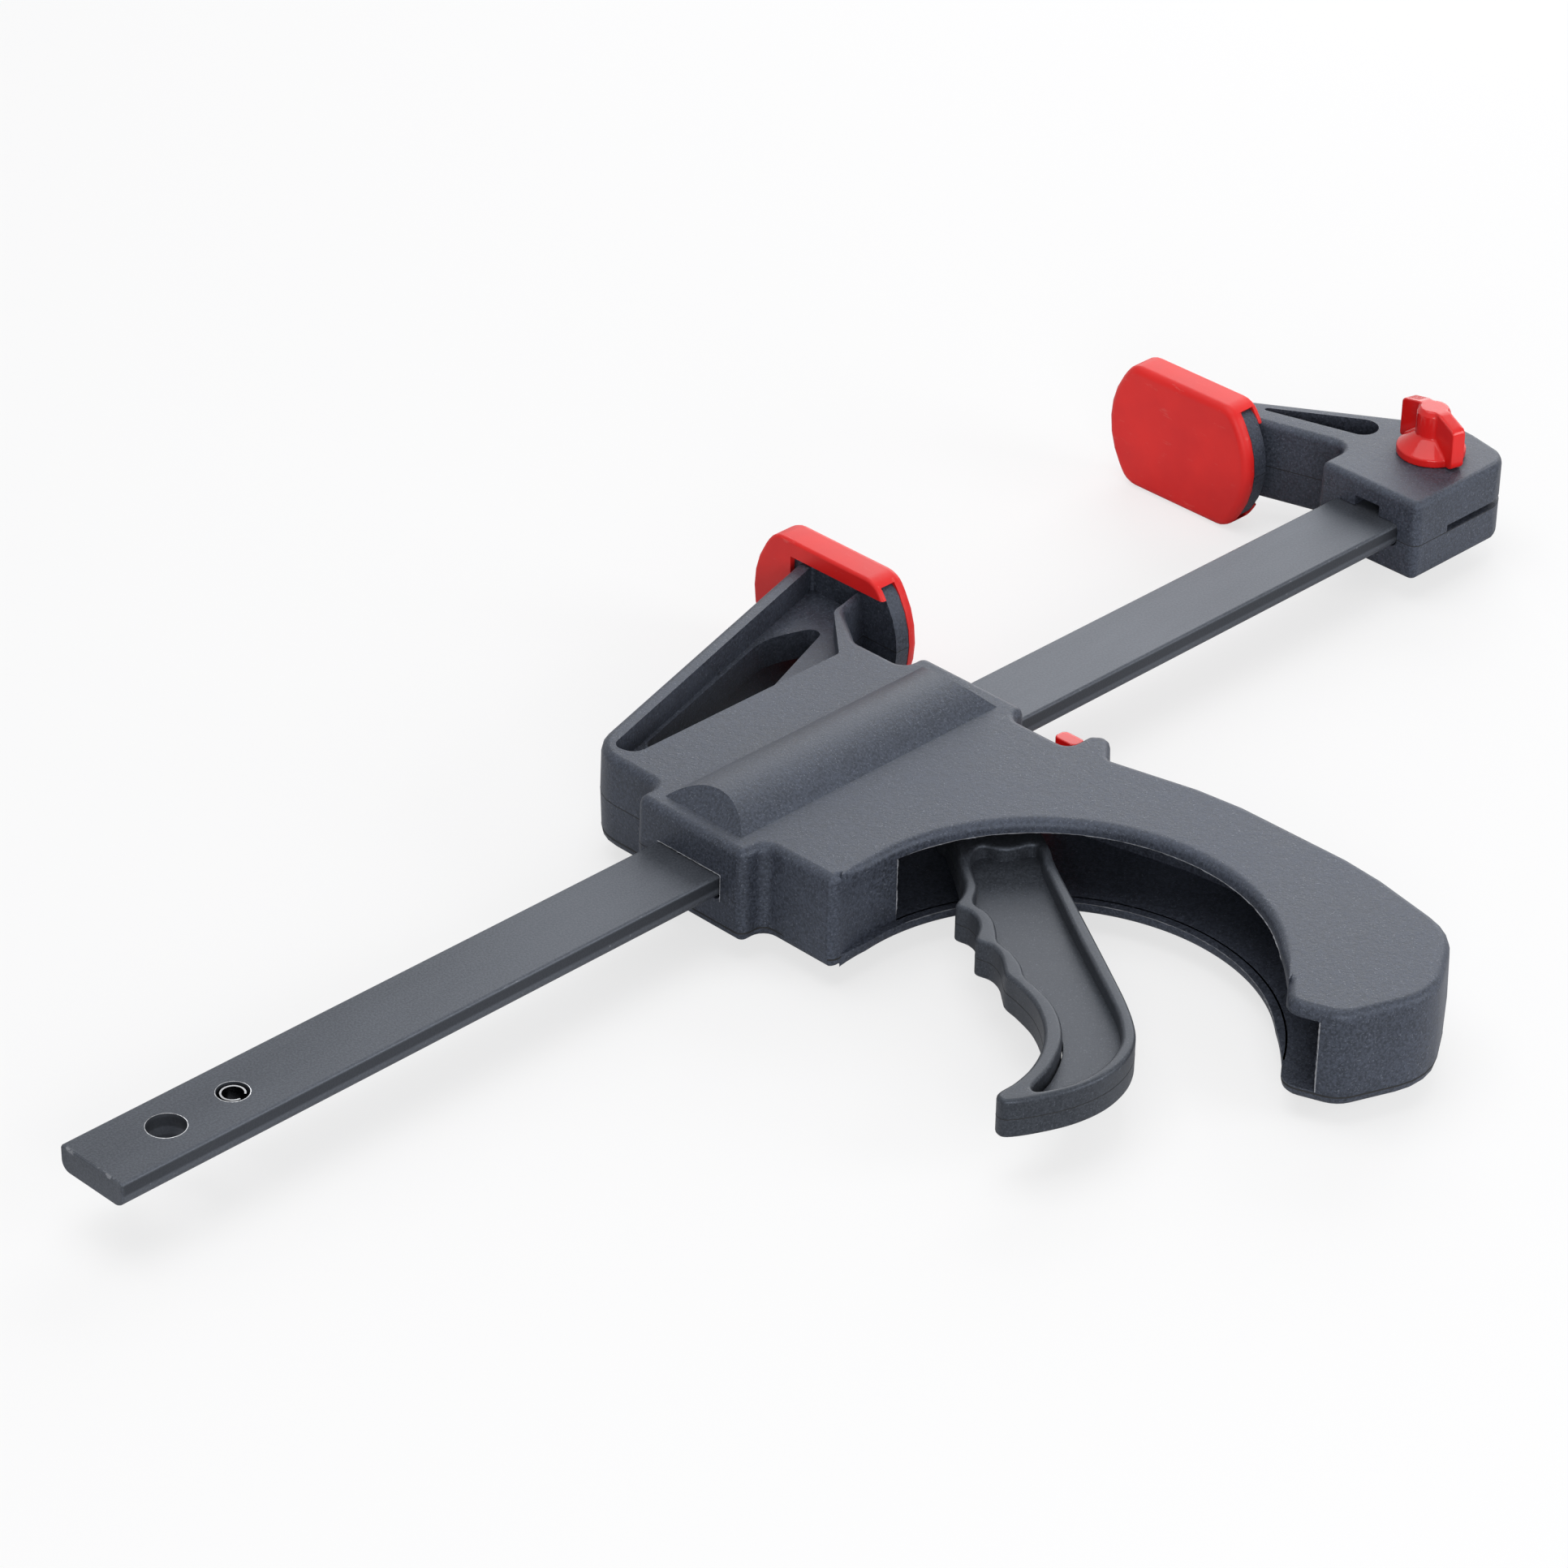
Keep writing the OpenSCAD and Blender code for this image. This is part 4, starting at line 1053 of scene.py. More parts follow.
@dataclass
class SteelBar:
    """The flat bar with its end hole, and the rolled pin that stops the housing."""

    bench: Bench
    corner_mm: Tuple[float, float] = (0.7, 2.4)  # radius of the upper and the lower edges
    # Distance from the free end, and inset of the outline there
    sheared_end_mm: Tuple[Tuple[float, float], ...] = ((0.0, 0.45), (0.14, 0.16), (0.5, 0.0))
    ragged_mm: float = 0.22
    straight_mm: Tuple[float, float] = (0.6, 0.5)  # what the two ends take off the straight length
    far_inset_mm: float = 0.4
    edge_mm: float = 0.12
    hole_d_mm: float = 8.4
    pin_x_mm: float = 17.0
    pin_hole_d_mm: float = 6.9
    pin_mouth_d_mm: float = 7.04
    pin_mm: Tuple[float, float] = (5.8, 4.6)  # outer and inner diameter
    pin_ends_mm: Tuple[float, float] = (-3.0, 2.7)
    pin_chamfer_mm: Tuple[float, float] = (0.3, 0.2)  # height and width
    pin_gap_deg: float = 46.0
    pin_turn_deg: float = -72.0
    burr_mm: float = 0.11
    burr_rise_mm: float = 0.03
    burr_root_mm: Tuple[float, float] = (0.05, 0.02)  # depth in the hole and under its outer edge
    burr_shares: Tuple[float, float] = (0.6, 1.6)  # reach of its top and of its outer edge
    burr_uneven: Tuple[float, float] = (0.7, 1.5)
    burr_rise_uneven: Tuple[float, float] = (0.5, 1.3)

    def __post_init__(self) -> None:
        """Reads the bar's length, width and thickness from the frame."""
        self.low, self.high = self.bench.box("bar")

    def section(self, x_mm: float, inset_mm: float) -> Ring:
        """Outline of the strip across the bar, its sides rounded more below than above.

        Args:
            x_mm: place along the bar.
            inset_mm: how far the outline stands in from the bar's own.

        Returns:
            The outline.
        """
        ring = []
        for quarter in range(4):
            upper, left = quarter < 2, quarter in (0, 3)
            radius = self.corner_mm[0 if upper else 1]
            y = (self.high.y - radius) * (1 if left else -1)
            z = (self.high.z - radius) * (1 if upper else -1)
            reach = radius - inset_mm
            for k in range(8):
                a = math.radians(90 * quarter + 90 * k / 7)
                ring.append(Vector((x_mm, y + reach * math.cos(a), z + reach * math.sin(a))) * MM)
        return ring

    def hole_cutter(self, name: str, x_mm: float, levels: Sequence[Tuple[float, float]],
                    sides: int) -> bpy.types.Object:
        """Round cutter that goes right through the bar.

        Args:
            name: the new object's name.
            x_mm: its place along the bar.
            levels: height and radius of each of its rings, in millimetres.
            sides: number of its sides.

        Returns:
            The cutter.
        """
        return swept(name, [circle_ring(Vector((x_mm, 0.0, z)) * MM, X_AXIS, Y_AXIS, r * MM, sides)
                            for z, r in levels])

    def strip(self) -> bpy.types.Object:
        """The bar with its sheared free end and its two holes.

        Returns:
            The strip.
        """
        draw = random.Random(5)
        rings = [self.section(self.low.x + along, inset) for along, inset in self.sheared_end_mm]
        for ring in rings[:2]:
            for point in ring:
                if point.z > 0:
                    point.x += draw.uniform(0.0, self.ragged_mm) * MM
        start, end = self.low.x + self.straight_mm[0], self.high.x - self.straight_mm[1]
        rings += [self.section(start + (end - start) * k / 20, 0.0) for k in range(21)]
        rings.append(self.section(self.high.x, self.far_inset_mm))
        bar = swept("bar_strip", rings, smooth_deg=40.0)
        face, past = self.high.z, self.high.z + 1.0
        hole_r, pin_r, mouth_r = (d / 2 for d in (self.hole_d_mm, self.pin_hole_d_mm,
                                                  self.pin_mouth_d_mm))
        flare, over = mouth_r - pin_r, 0.2
        end_hole = self.hole_cutter("end_hole", 0.0, ((-past, hole_r), (past, hole_r)), 64)
        levels = ((-past, pin_r), (face - flare, pin_r), (face + over, mouth_r + over))
        pin_hole = self.hole_cutter("pin_hole", self.pin_x_mm, levels, 48)
        return edged(cut_away(bar, [end_hole, pin_hole]), self.edge_mm, 50.0)

    def pin(self) -> bpy.types.Object:
        """Spring pin rolled from sheet, its slit towards the handle's side.

        Returns:
            The pin.
        """
        outer, inner = (d / 2 for d in self.pin_mm)
        low, high = self.pin_ends_mm
        down, thinner = self.pin_chamfer_mm
        first = self.pin_turn_deg + self.pin_gap_deg / 2
        turns = [math.radians(first + (360 - self.pin_gap_deg) * k / 40) for k in range(41)]
        rings = []
        for z, r in ((low, outer), (high - down, outer), (high, outer - thinner)):
            ring = [(a, r) for a in turns] + [(a, inner) for a in reversed(turns)]
            rings.append([Vector((self.pin_x_mm + reach * math.cos(a), reach * math.sin(a), z)) * MM
                          for a, reach in ring])
        return swept("stop_pin_rolled", rings, smooth_deg=40.0)

    def burr(self, name: str, x_mm: float, d_mm: float, side: int, seed: int) -> bpy.types.Object:
        """Uneven bright lip round a hole's mouth.

        Args:
            name: the new object's name.
            x_mm: place of the hole along the bar.
            d_mm: diameter of its mouth.
            side: 1 on the upper face, -1 on the lower one.
            seed: seed of the lip's unevenness.

        Returns:
            The lip.
        """
        draw = random.Random(seed)
        rings, count = [], 72
        deep, shallow = self.burr_root_mm
        top, rim = self.burr_shares
        face = Vector((x_mm, 0.0, side * self.high.z)) * MM
        up = UP * side
        for i in range(count):
            a = 2 * math.pi * i / count
            out = X_AXIS * math.cos(a) + Y_AXIS * math.sin(a)
            width = self.burr_mm * draw.uniform(*self.burr_uneven)
            rise = self.burr_rise_mm * draw.uniform(*self.burr_rise_uneven)
            foot = face + out * (d_mm / 2) * MM
            profile = ((0.0, -deep), (0.0, rise), (width * top, rise), (width * rim, -shallow))
            rings.append([foot + (out * along + up * over) * MM for along, over in profile])
        return swept(name, rings, closed=True, smooth_deg=70.0)

    def build(self) -> None:
        """Builds the strip, the pin and the burrs."""
        self.bench.mount(self.strip(), Body.BAR, Slot.BAR, "bar")
        self.bench.mount(self.pin(), Body.BAR, Slot.PLATED, "stop_pin", finish=ROLLED_PIN)
        holes = ((0.0, self.hole_d_mm, 1), (0.0, self.hole_d_mm, -1),
                 (self.pin_x_mm, self.pin_mouth_d_mm, 1))
        for i, (x, d, side) in enumerate(holes):
            lip = self.burr(f"hole_burr_{i + 1}", x, d, side, 40 + i)
            self.bench.mount(lip, Body.BAR, Slot.PLATED)


@dataclass
class FixedJaw:
    """The jaw that is pinched on the bar's end, with its pad, nut and wing screw."""

    bench: Bench
    screw_x_mm: float = 388.0
    screw_low_mm: float = -9.85
    screw_high_mm: float = 13.4
    screw_d_mm: float = 7.9
    pitch_mm: float = 1.25
    thread_mm: float = 0.62
    thread_flank: float = 2.3  # slope of the thread's sides, in depths to a pitch
    thread_flat: float = 0.12  # what is taken off their depth, which leaves a flat crest
    chamfer_mm: float = 0.9
    half_height_mm: float = 10.35
    edge_mm: float = 1.8
    back_corner_mm: Tuple[float, float] = (400.46, -15.3)
    back_lean: Tuple[float, float] = (0.213, 0.977)
    back_radius_mm: float = 9.5
    seam_mm: float = -0.95
    seam_half_mm: float = 0.1
    nut_edge_mm: float = 0.45

    def screw(self) -> bpy.types.Object:
        """Stud with a right-handed thread and chamfered ends.

        Returns:
            The stud.
        """
        sides, per_pitch = 36, 8
        length = self.screw_high_mm - self.screw_low_mm
        levels = int(length / self.pitch_mm * per_pitch)
        rings = []
        for level in range(levels + 1):
            z = length * level / levels
            chamfer = max(0.0, self.chamfer_mm - min(z, length - z))
            ring = []
            for k in range(sides):
                a = 2 * math.pi * k / sides
                phase = (z / self.pitch_mm - a / (2 * math.pi)) % 1.0
                slope = self.thread_flank * abs(phase - 0.5) - self.thread_flat
                groove = self.thread_mm * min(1.0, max(0.0, slope))
                r = self.screw_d_mm / 2 - max(groove, chamfer)
                ring.append(Vector((self.screw_x_mm + r * math.cos(a), r * math.sin(a),
                                    self.screw_low_mm + z)) * MM)
            rings.append(ring)
        return swept("clamp_screw_thread", rings, smooth_deg=60.0)

    def build(self) -> None:
        """Builds the jaw's skin, its parting line of painted shade, the pad, the nut and the wing screw.
        """
        bench = self.bench
        walls = (-X_AXIS, Vector((*self.back_lean, 0.0)).normalized())
        back = corner_cutter("back_cutter", Vector((*self.back_corner_mm, 0.0)), walls,
                             self.back_radius_mm, self.half_height_mm, self.edge_mm)
        jaw = bench.skin("fixed_jaw", Body.BAR, Slot.NYLON, MOULD_EDGE_MM, [back])
        # The jaw's parting line is a strip of painted shade.
        for i, outline in enumerate(slices(jaw, self.seam_mm)[:2]):
            bench.seam(f"fixed_jaw_seam_shade_{i}", outline, Body.BAR, Slot.NYLON, self.seam_half_mm)
        bench.skin("fixed_pad", Body.BAR, Slot.PAD, PAD_EDGE_MM)
        bench.skin("jaw_nut", Body.BAR, Slot.PLATED, self.nut_edge_mm)
        bench.mount(self.screw(), Body.WING, Slot.PLATED, "clamp_screw")
        knob = melted_skin(bench.node("wing_knob"), "wing_knob_skin", cell_mm=0.22, passes=9, keep=0.5)
        bench.mount(knob, Body.WING, Slot.RED, "wing_knob")


@dataclass
class SlidingHead:
    """The housing that slides on the bar: bulge, arm with its pad, and the curved handle."""

    bench: Bench
    rim_x_mm: float = 22.014
    rim_y_mm: float = -84.016
    rim_r_mm: float = 49.3
    rim_span_deg: Tuple[float, float] = (104.5, -58.5)
    lip_mm: float = 1.9
    lip_fade_deg: Tuple[float, float] = (9.0, 14.0)  # angle over which each end fades
    lip_fade_power: float = 0.7
    lip_root_mm: float = 0.4
    lip_cover_mm: Tuple[float, float] = (0.15, 1.4)  # reach over the flat face, at its ends and in full
    lip_sink_mm: float = 0.03
    flash_span_deg: Tuple[float, float] = (82.0, -46.0)
    flash_gap_mm: float = 0.08
    palm_deg: float = 15.0  # the direction in which the channel's fins lean
    rear_boss_mm: float = 6.6
    boss_corner_mm: float = 2.6
    boss_chord_deg: float = 4.5
    half_height_mm: float = 11.5
    edge_mm: float = 2.0
    channel_half_mm: float = 8.5
    channel_edges_mm: Tuple[Tuple[float, float], ...] = ((170.0, -35.0), (186.1, -138.0))
    seams_mm: Tuple[Tuple[float, float], ...] = ((-9.1, 0.2), (0.02, 0.1))  # height and half width
    slot_half_mm: Tuple[float, float] = (9.8, 3.3)  # half the bar's opening, across and in height
    slot_points: Tuple[int, int] = (14, 40)
    slot_flash_mm: Tuple[float, float] = (0.03, 0.24)  # least and most that its flash stands out
    slot_flash_root_mm: float = 0.2
    slot_flash_half_mm: float = 0.06
    pin_edge_mm: float = 0.4

    def __post_init__(self) -> None:
        """Reads the place of the housing's rear face from the frame."""
        self.rear_mm = self.bench.box("housing")[0].x

    def rim_point(self, angle_deg: float, radius_mm: float, z_mm: float) -> Vector:
        """Point round the centre of the hand opening's rim."""
        a = math.radians(angle_deg)
        return Vector((self.rear_mm + self.rim_x_mm + radius_mm * math.cos(a),
                       self.rim_y_mm + radius_mm * math.sin(a), z_mm)) * MM

    def lip_share(self, angle_deg: float) -> float:
        """Share of its full width that the lip has at an angle.

        Args:
            angle_deg: the angle round the rim's centre.

        Returns:
            The share, which falls to 0 at the lip's two ends.
        """
        first, last = self.rim_span_deg
        after, before = self.lip_fade_deg
        share = min(1.0, (first - angle_deg) / after, (angle_deg - last) / before)
        return max(0.0, share) ** self.lip_fade_power

    def rim_lip(self, side: int) -> bpy.types.Object:
        """Rounded lip along the rim of the hand opening, on one half of the housing.

        Args:
            side: 1 for the upper half, -1 for the lower one.

        Returns:
            The lip.
        """
        edge, top = self.lip_mm, self.half_height_mm
        profile = [(-1.0, self.channel_half_mm)]
        profile += [(-math.cos(a), top - edge + edge * math.sin(a)) for a in QUARTER]
        (first, last), steps = self.rim_span_deg, 110
        least, most = self.lip_cover_mm
        rings = []
        for i in range(steps + 1):
            angle = first + (last - first) * i / steps
            share = self.lip_share(angle)
            ring = [(self.lip_root_mm, self.channel_half_mm)]
            ring += [(inset * edge * share + 0.1 * (1 - share), z) for inset, z in profile]
            ring.append((least + (most - least) * share, top - self.lip_sink_mm))
            rings.append([self.rim_point(angle, self.rim_r_mm + out, side * z) for out, z in ring])
        return swept(f"rim_lip_{'low' if side < 0 else 'high'}", rings)

    def boss_cutter(self) -> bpy.types.Object:
        """Cutter that rounds the upright corner between the rear boss and the rim.

        Returns:
            The cutter.
        """
        angle = math.degrees(math.acos((self.rear_boss_mm - self.rim_x_mm) / self.rim_r_mm))
        corner, onward = (self.rim_point(angle - back, self.rim_r_mm, 0.0) / MM
                          for back in (0.0, self.boss_chord_deg))
        return corner_cutter("boss_cutter", corner, (Y_AXIS, (onward - corner).normalized()),
                             self.boss_corner_mm, self.half_height_mm, self.edge_mm)

    def rim_flash(self, side: int) -> bpy.types.Object:
        """Torn fin along the edge between the hand opening's rim and the handle's channel.

        Args:
            side: 1 for the upper half of the housing, -1 for the lower one.

        Returns:
            The fin.
        """
        centre = self.rim_point(0.0, 0.0, 0.0)
        (first, last), steps = self.flash_span_deg, 150
        path = []
        for i in range(steps + 1):
            angle = first + (last - first) * i / steps
            path.append(self.rim_point(angle, self.rim_r_mm - self.lip_mm * self.lip_share(angle),
                                       side * (self.channel_half_mm + self.flash_gap_mm)))
        return ragged_fin(f"rim_flash_{'low' if side < 0 else 'high'}", path,
                          lambda p: (Vector((centre.x, centre.y, p.z)) - p).normalized(),
                          reach_mm=(0.0, 0.32), thick_mm=0.12, seed=7 + side)

    def channel_flash(self, name: str, x_mm: float, y_mm: float, seed: int) -> bpy.types.Object:
        """Torn fin up one of the upright edges where the handle's channel begins or ends.

        Args:
            name: the new object's name.
            x_mm: place of the edge along the bar.
            y_mm: place of the edge across the bar.
            seed: seed of its ragged outline.

        Returns:
            The fin.
        """
        path = [Vector((x_mm, y_mm, self.channel_half_mm * (k / 20 - 1))) * MM for k in range(41)]
        palm = self.rim_point(self.palm_deg, self.rim_r_mm, 0.0)
        way = (palm - Vector((x_mm, y_mm, 0.0)) * MM).normalized()
        return ragged_fin(name, path, lambda p: way, reach_mm=(0.02, 0.3), thick_mm=0.16, seed=seed,
                          across=Vector((-way.y, way.x, 0.0)))

    def mouth_flash(self) -> bpy.types.Object:
        """Torn fin along two sides of the bar's opening in the rear face.

        Returns:
            The fin.
        """
        half_w, half_t = self.slot_half_mm
        corners = ((-half_w, -half_t), (-half_w, half_t), (half_w, half_t))
        path = []
        for start, end, count in zip(corners, corners[1:], self.slot_points):
            for i in range(count):
                y, z = (a + (b - a) * i / count for a, b in zip(start, end))
                path.append(Vector((self.rear_mm, y, z)))
        draw = random.Random(23)
        root, half = self.slot_flash_root_mm, self.slot_flash_half_mm
        rings = []
        for point in path:
            reach = draw.uniform(*self.slot_flash_mm)
            section = ((root, 0.0), (0.0, half), (-reach, 0.0), (0.0, -half))
            rings.append([(point + Vector((ahead, aside, aside))) * MM for ahead, aside in section])
        return swept("mouth_flash", rings, smooth_deg=25.0)

    def build(self) -> None:
        """Builds the housing's skin, its lip and flash, its pad and the pin's end."""
        bench = self.bench
        shell = bench.skin("housing", Body.HEAD, Slot.NYLON, MOULD_EDGE_MM, [self.boss_cutter()])
        # The housing's parting lines are strips of painted shade.
        for height, half in self.seams_mm:
            bench.seam(f"housing_seam_shade_0_{round(half * 100)}", slices(shell, height)[0], Body.HEAD,
                       Slot.NYLON, half)
        flash = []
        for side in (1, -1):
            bench.mount(self.rim_lip(side), Body.HEAD, Slot.NYLON)
            flash.append(self.rim_flash(side))
        flash.append(self.mouth_flash())
        flash += [self.channel_flash(f"channel_flash_{i + 1}", x, y, 61 + i)
                  for i, (x, y) in enumerate(self.channel_edges_mm)]
        for fin in flash:
            bench.mount(fin, Body.HEAD, Slot.NYLON, finish=FLASH)
        bench.skin("moving_pad", Body.HEAD, Slot.PAD, PAD_EDGE_MM)
        bench.skin("trigger_pin", Body.HEAD, Slot.PLATED, self.pin_edge_mm)


@dataclass
class Mechanism:
    """Trigger, drive plates, brake plate with its lever, and the two springs."""

    bench: Bench
    drive_spring_mm: Tuple[float, float] = (10.2, 52.196)  # its ends, from the housing's rear face
    drive_coil_mm: Tuple[float, float] = (11.3, 1.8)  # mean radius, and thickness of the wire
    drive_turns: int = 8
    drive_travel_mm: float = 8.5
    brake_spring_mm: Tuple[float, float] = (69.952, 77.121)
    brake_coil_mm: Tuple[float, float] = (2.8, 0.9)
    brake_turns: int = 5
    brake_travel_mm: float = 3.5
    brake_spring_y_mm: float = -17.48
    end_pitch: float = 1.35  # pitch of the closed end turns, in wire diameters
    wire_slack: float = 0.98  # share of the wire's size that is kept, clear of the next turn
    trigger_half_mm: float = 4.6
    trigger_edge_mm: float = 0.9
    shoulder_mm: float = 1.5
    web_half_mm: float = 1.2
    web_edge_mm: float = 0.2
    web_root_mm: float = 0.8
    pin_gap_mm: float = 0.1
    seam_mm: Tuple[float, float] = (0.02, 0.08)  # height and half width
    crowded_mm: float = 0.15
    # The rim's outline from the pivot: down the finger grips, round the hook and up the back
    grips_mm: Tuple[Tuple[float, float], ...] = (
        (-8.6, 1.0), (-12.5, -4.5), (-17.3, -11.0), (-20.1, -14.4), (-23.2, -18.4), (-26.6, -20.8),
        (-30.0, -22.3), (-30.5, -23.6), (-30.1, -26.3), (-31.0, -29.2), (-33.2, -31.9), (-36.3, -34.0),
        (-37.0, -35.3), (-36.4, -38.6), (-37.6, -42.2), (-40.2, -45.6), (-41.9, -48.0), (-42.9, -52.3),
        (-45.3, -59.1), (-50.0, -66.0), (-56.0, -71.1), (-62.4, -74.2), (-68.7, -75.6), (-73.8, -75.8),
        (-75.4, -77.4), (-74.6, -79.6), (-69.3, -82.7), (-62.0, -85.6), (-54.6, -86.7), (-48.0, -85.9),
        (-42.3, -83.6), (-37.5, -79.8), (-31.9, -72.6), (-25.4, -62.3), (-12.9, -41.7), (-3.6, -26.4),
        (0.4, -21.0), (4.2, -14.4), (8.9, -5.6))
    # The sunk panel's outline from the pivot: down its back, round the hook and up beside the grips
    panel_mm: Tuple[Tuple[float, float], ...] = (
        (-9.1, -10.8), (-8.0, -13.2), (-6.6, -15.0), (-4.4, -16.3), (-2.2, -16.9), (-0.9, -18.3),
        (-2.3, -21.2), (-6.1, -25.6), (-14.2, -38.3), (-20.1, -47.7), (-27.0, -59.2), (-33.2, -69.4),
        (-37.1, -75.0), (-42.0, -80.1), (-47.1, -82.7), (-52.0, -84.0), (-57.3, -84.3), (-62.4, -83.4),
        (-67.3, -81.2), (-68.0, -79.8), (-66.4, -78.8), (-59.3, -76.7), (-51.4, -72.3), (-46.2, -67.2),
        (-42.5, -61.3), (-40.6, -55.4), (-39.5, -51.2), (-36.6, -47.0), (-34.8, -42.6), (-34.0, -38.4),
        (-31.6, -35.6), (-29.0, -32.4), (-27.5, -29.0), (-27.2, -25.4), (-25.6, -23.4), (-22.0, -20.9),
        (-18.8, -16.7), (-15.6, -12.6), (-12.6, -10.8), (-10.6, -10.3))

    def __post_init__(self) -> None:
        """Reads the housing's rear face and the trigger's pivot from the frame."""
        self.rear_mm = self.bench.box("housing")[0].x
        low, high = self.bench.box("trigger_pin")
        self.pivot = Vector(((low.x + high.x) / 2, (low.y + high.y) / 2, 0.0))
        self.pin_r_mm = (high.x - low.x) / 2

    def trigger_head(self) -> Ring:
        """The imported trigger's own outline above its shoulder.

        Returns:
            The outline in millimetres, anticlockwise, without crowded points.
        """
        whole = [p / MM for p in slices(self.bench.node("trigger"), 0.0)[0]]
        if signed_area(whole) < 0:
            whole.reverse()
        above = [p.y > self.pivot.y + self.shoulder_mm for p in whole]
        first = next(i for i, kept in enumerate(above) if kept and not above[i - 1])
        turned = whole[first:] + whole[:first]
        head = [Vector((p.x, p.y, 0.0)) for p in turned if p.y > self.pivot.y + self.shoulder_mm]
        apart = [p for before, p in zip(head, head[1:]) if (p - before).length > self.crowded_mm]
        return head[:1] + apart

    def trigger(self) -> bpy.types.Object:
        """The trigger: a rim that follows the finger grips round a sunk panel.

        Returns:
            The trigger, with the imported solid's own outline round its head.
        """
        head = self.trigger_head()
        grip = [self.pivot + p for p in flowing(self.grips_mm, 5)]
        panel = [self.pivot + p for p in flowing(self.panel_mm, 5, closed=True)]
        bore = circle_ring(self.pivot, X_AXIS, Y_AXIS, self.pin_r_mm + self.pin_gap_mm, 40)
        rim = rounded_plate("trigger_rim", [head + grip, panel[::-1], bore[::-1]],
                            self.trigger_half_mm, self.trigger_edge_mm)
        middle = sum(panel, Vector()) / len(panel)
        spread = [p + (p - middle).normalized() * self.web_root_mm for p in panel]
        web = rounded_plate("trigger_web", [spread], self.web_half_mm, self.web_edge_mm)
        return joined("trigger_skin", [rim, web])

    def coil(self, name: str, ends_mm: Tuple[float, float], y_mm: float, coil_mm: Tuple[float, float],
             turns: int) -> bpy.types.Object:
        """Compression spring of round wire along X, its end turns closed up.

        Args:
            name: the new object's name.
            ends_mm: its two ends along the bar, from the housing's rear face.
            y_mm: its axis across the bar.
            coil_mm: mean radius of the coil and diameter of the wire.
            turns: number of turns.

        Returns:
            The spring.
        """
        radius, wire = coil_mm
        length = ends_mm[1] - ends_mm[0]
        per_turn, sides = 28, 10
        tight = wire * self.end_pitch
        rest = length - wire - 2 * tight
        points = []
        for i in range(turns * per_turn + 1):
            t = i / per_turn
            if t < 1:
                climb = t * tight
            elif t > turns - 1:
                climb = length - wire - (turns - t) * tight
            else:
                climb = tight + rest * (t - 1) / (turns - 2)
            a = 2 * math.pi * t
            points.append(Vector((self.rear_mm + ends_mm[0] + wire / 2 + climb,
                                  y_mm + radius * math.cos(a), radius * math.sin(a))))
        rings = []
        for i, point in enumerate(points):
            along = (points[min(i + 1, len(points) - 1)] - points[max(i - 1, 0)]).normalized()
            out = (point - Vector((point.x, y_mm, 0.0))).normalized()
            up = along.cross(out).normalized()
            rings.append([p * MM for p in circle_ring(point, out, up, wire / 2 * self.wire_slack,
                                                      sides)])
        return swept(name, rings, smooth_deg=70.0)

    def close_up(self, spring: bpy.types.Object) -> None:
        """Gives a spring a mesh of its own.

        Args:
            spring: the spring, already on its body.
        """
        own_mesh(spring)

    def build(self) -> None:
        """Builds the trigger's and lever's skins and the springs, and dresses the plates."""
        bench = self.bench
        trigger = bench.mount(self.trigger(), Body.TRIGGER, Slot.TRIGGER, "trigger")
        # The trigger's parting line is a strip of painted shade.
        seam_mm, half_mm = self.seam_mm
        bench.seam("trigger_seam_shade", slices(trigger, seam_mm)[0], Body.TRIGGER, Slot.TRIGGER, half_mm,
                   gap_mm=0.3)
        for name in ("drive_plate_front", "drive_plate_rear", "brake_plate"):
            bench.dress(name, Slot.HARD)
        lever = melted_skin(bench.node("release_lever"), "release_lever_skin", cell_mm=0.25, passes=8,
                            keep=0.6)
        bench.mount(lever, Body.BRAKE, Slot.RED, "release_lever")
        drive = self.coil("drive_spring_wire", self.drive_spring_mm, 0.0, self.drive_coil_mm,
                          self.drive_turns)
        bench.mount(drive, Body.HEAD, Slot.SPRING, "drive_spring")
        self.close_up(drive)
        brake = self.coil("brake_spring_wire", self.brake_spring_mm, self.brake_spring_y_mm,
                          self.brake_coil_mm, self.brake_turns)
        bench.mount(brake, Body.HEAD, Slot.SPRING, "brake_spring")
        self.close_up(brake)


# Studio


@dataclass(frozen=True)
class Lamp:
    """Square soft lamp that looks at the object's middle."""

    name: str
    offset_mm: Tuple[float, float, float]
    size_mm: float
    watts: float


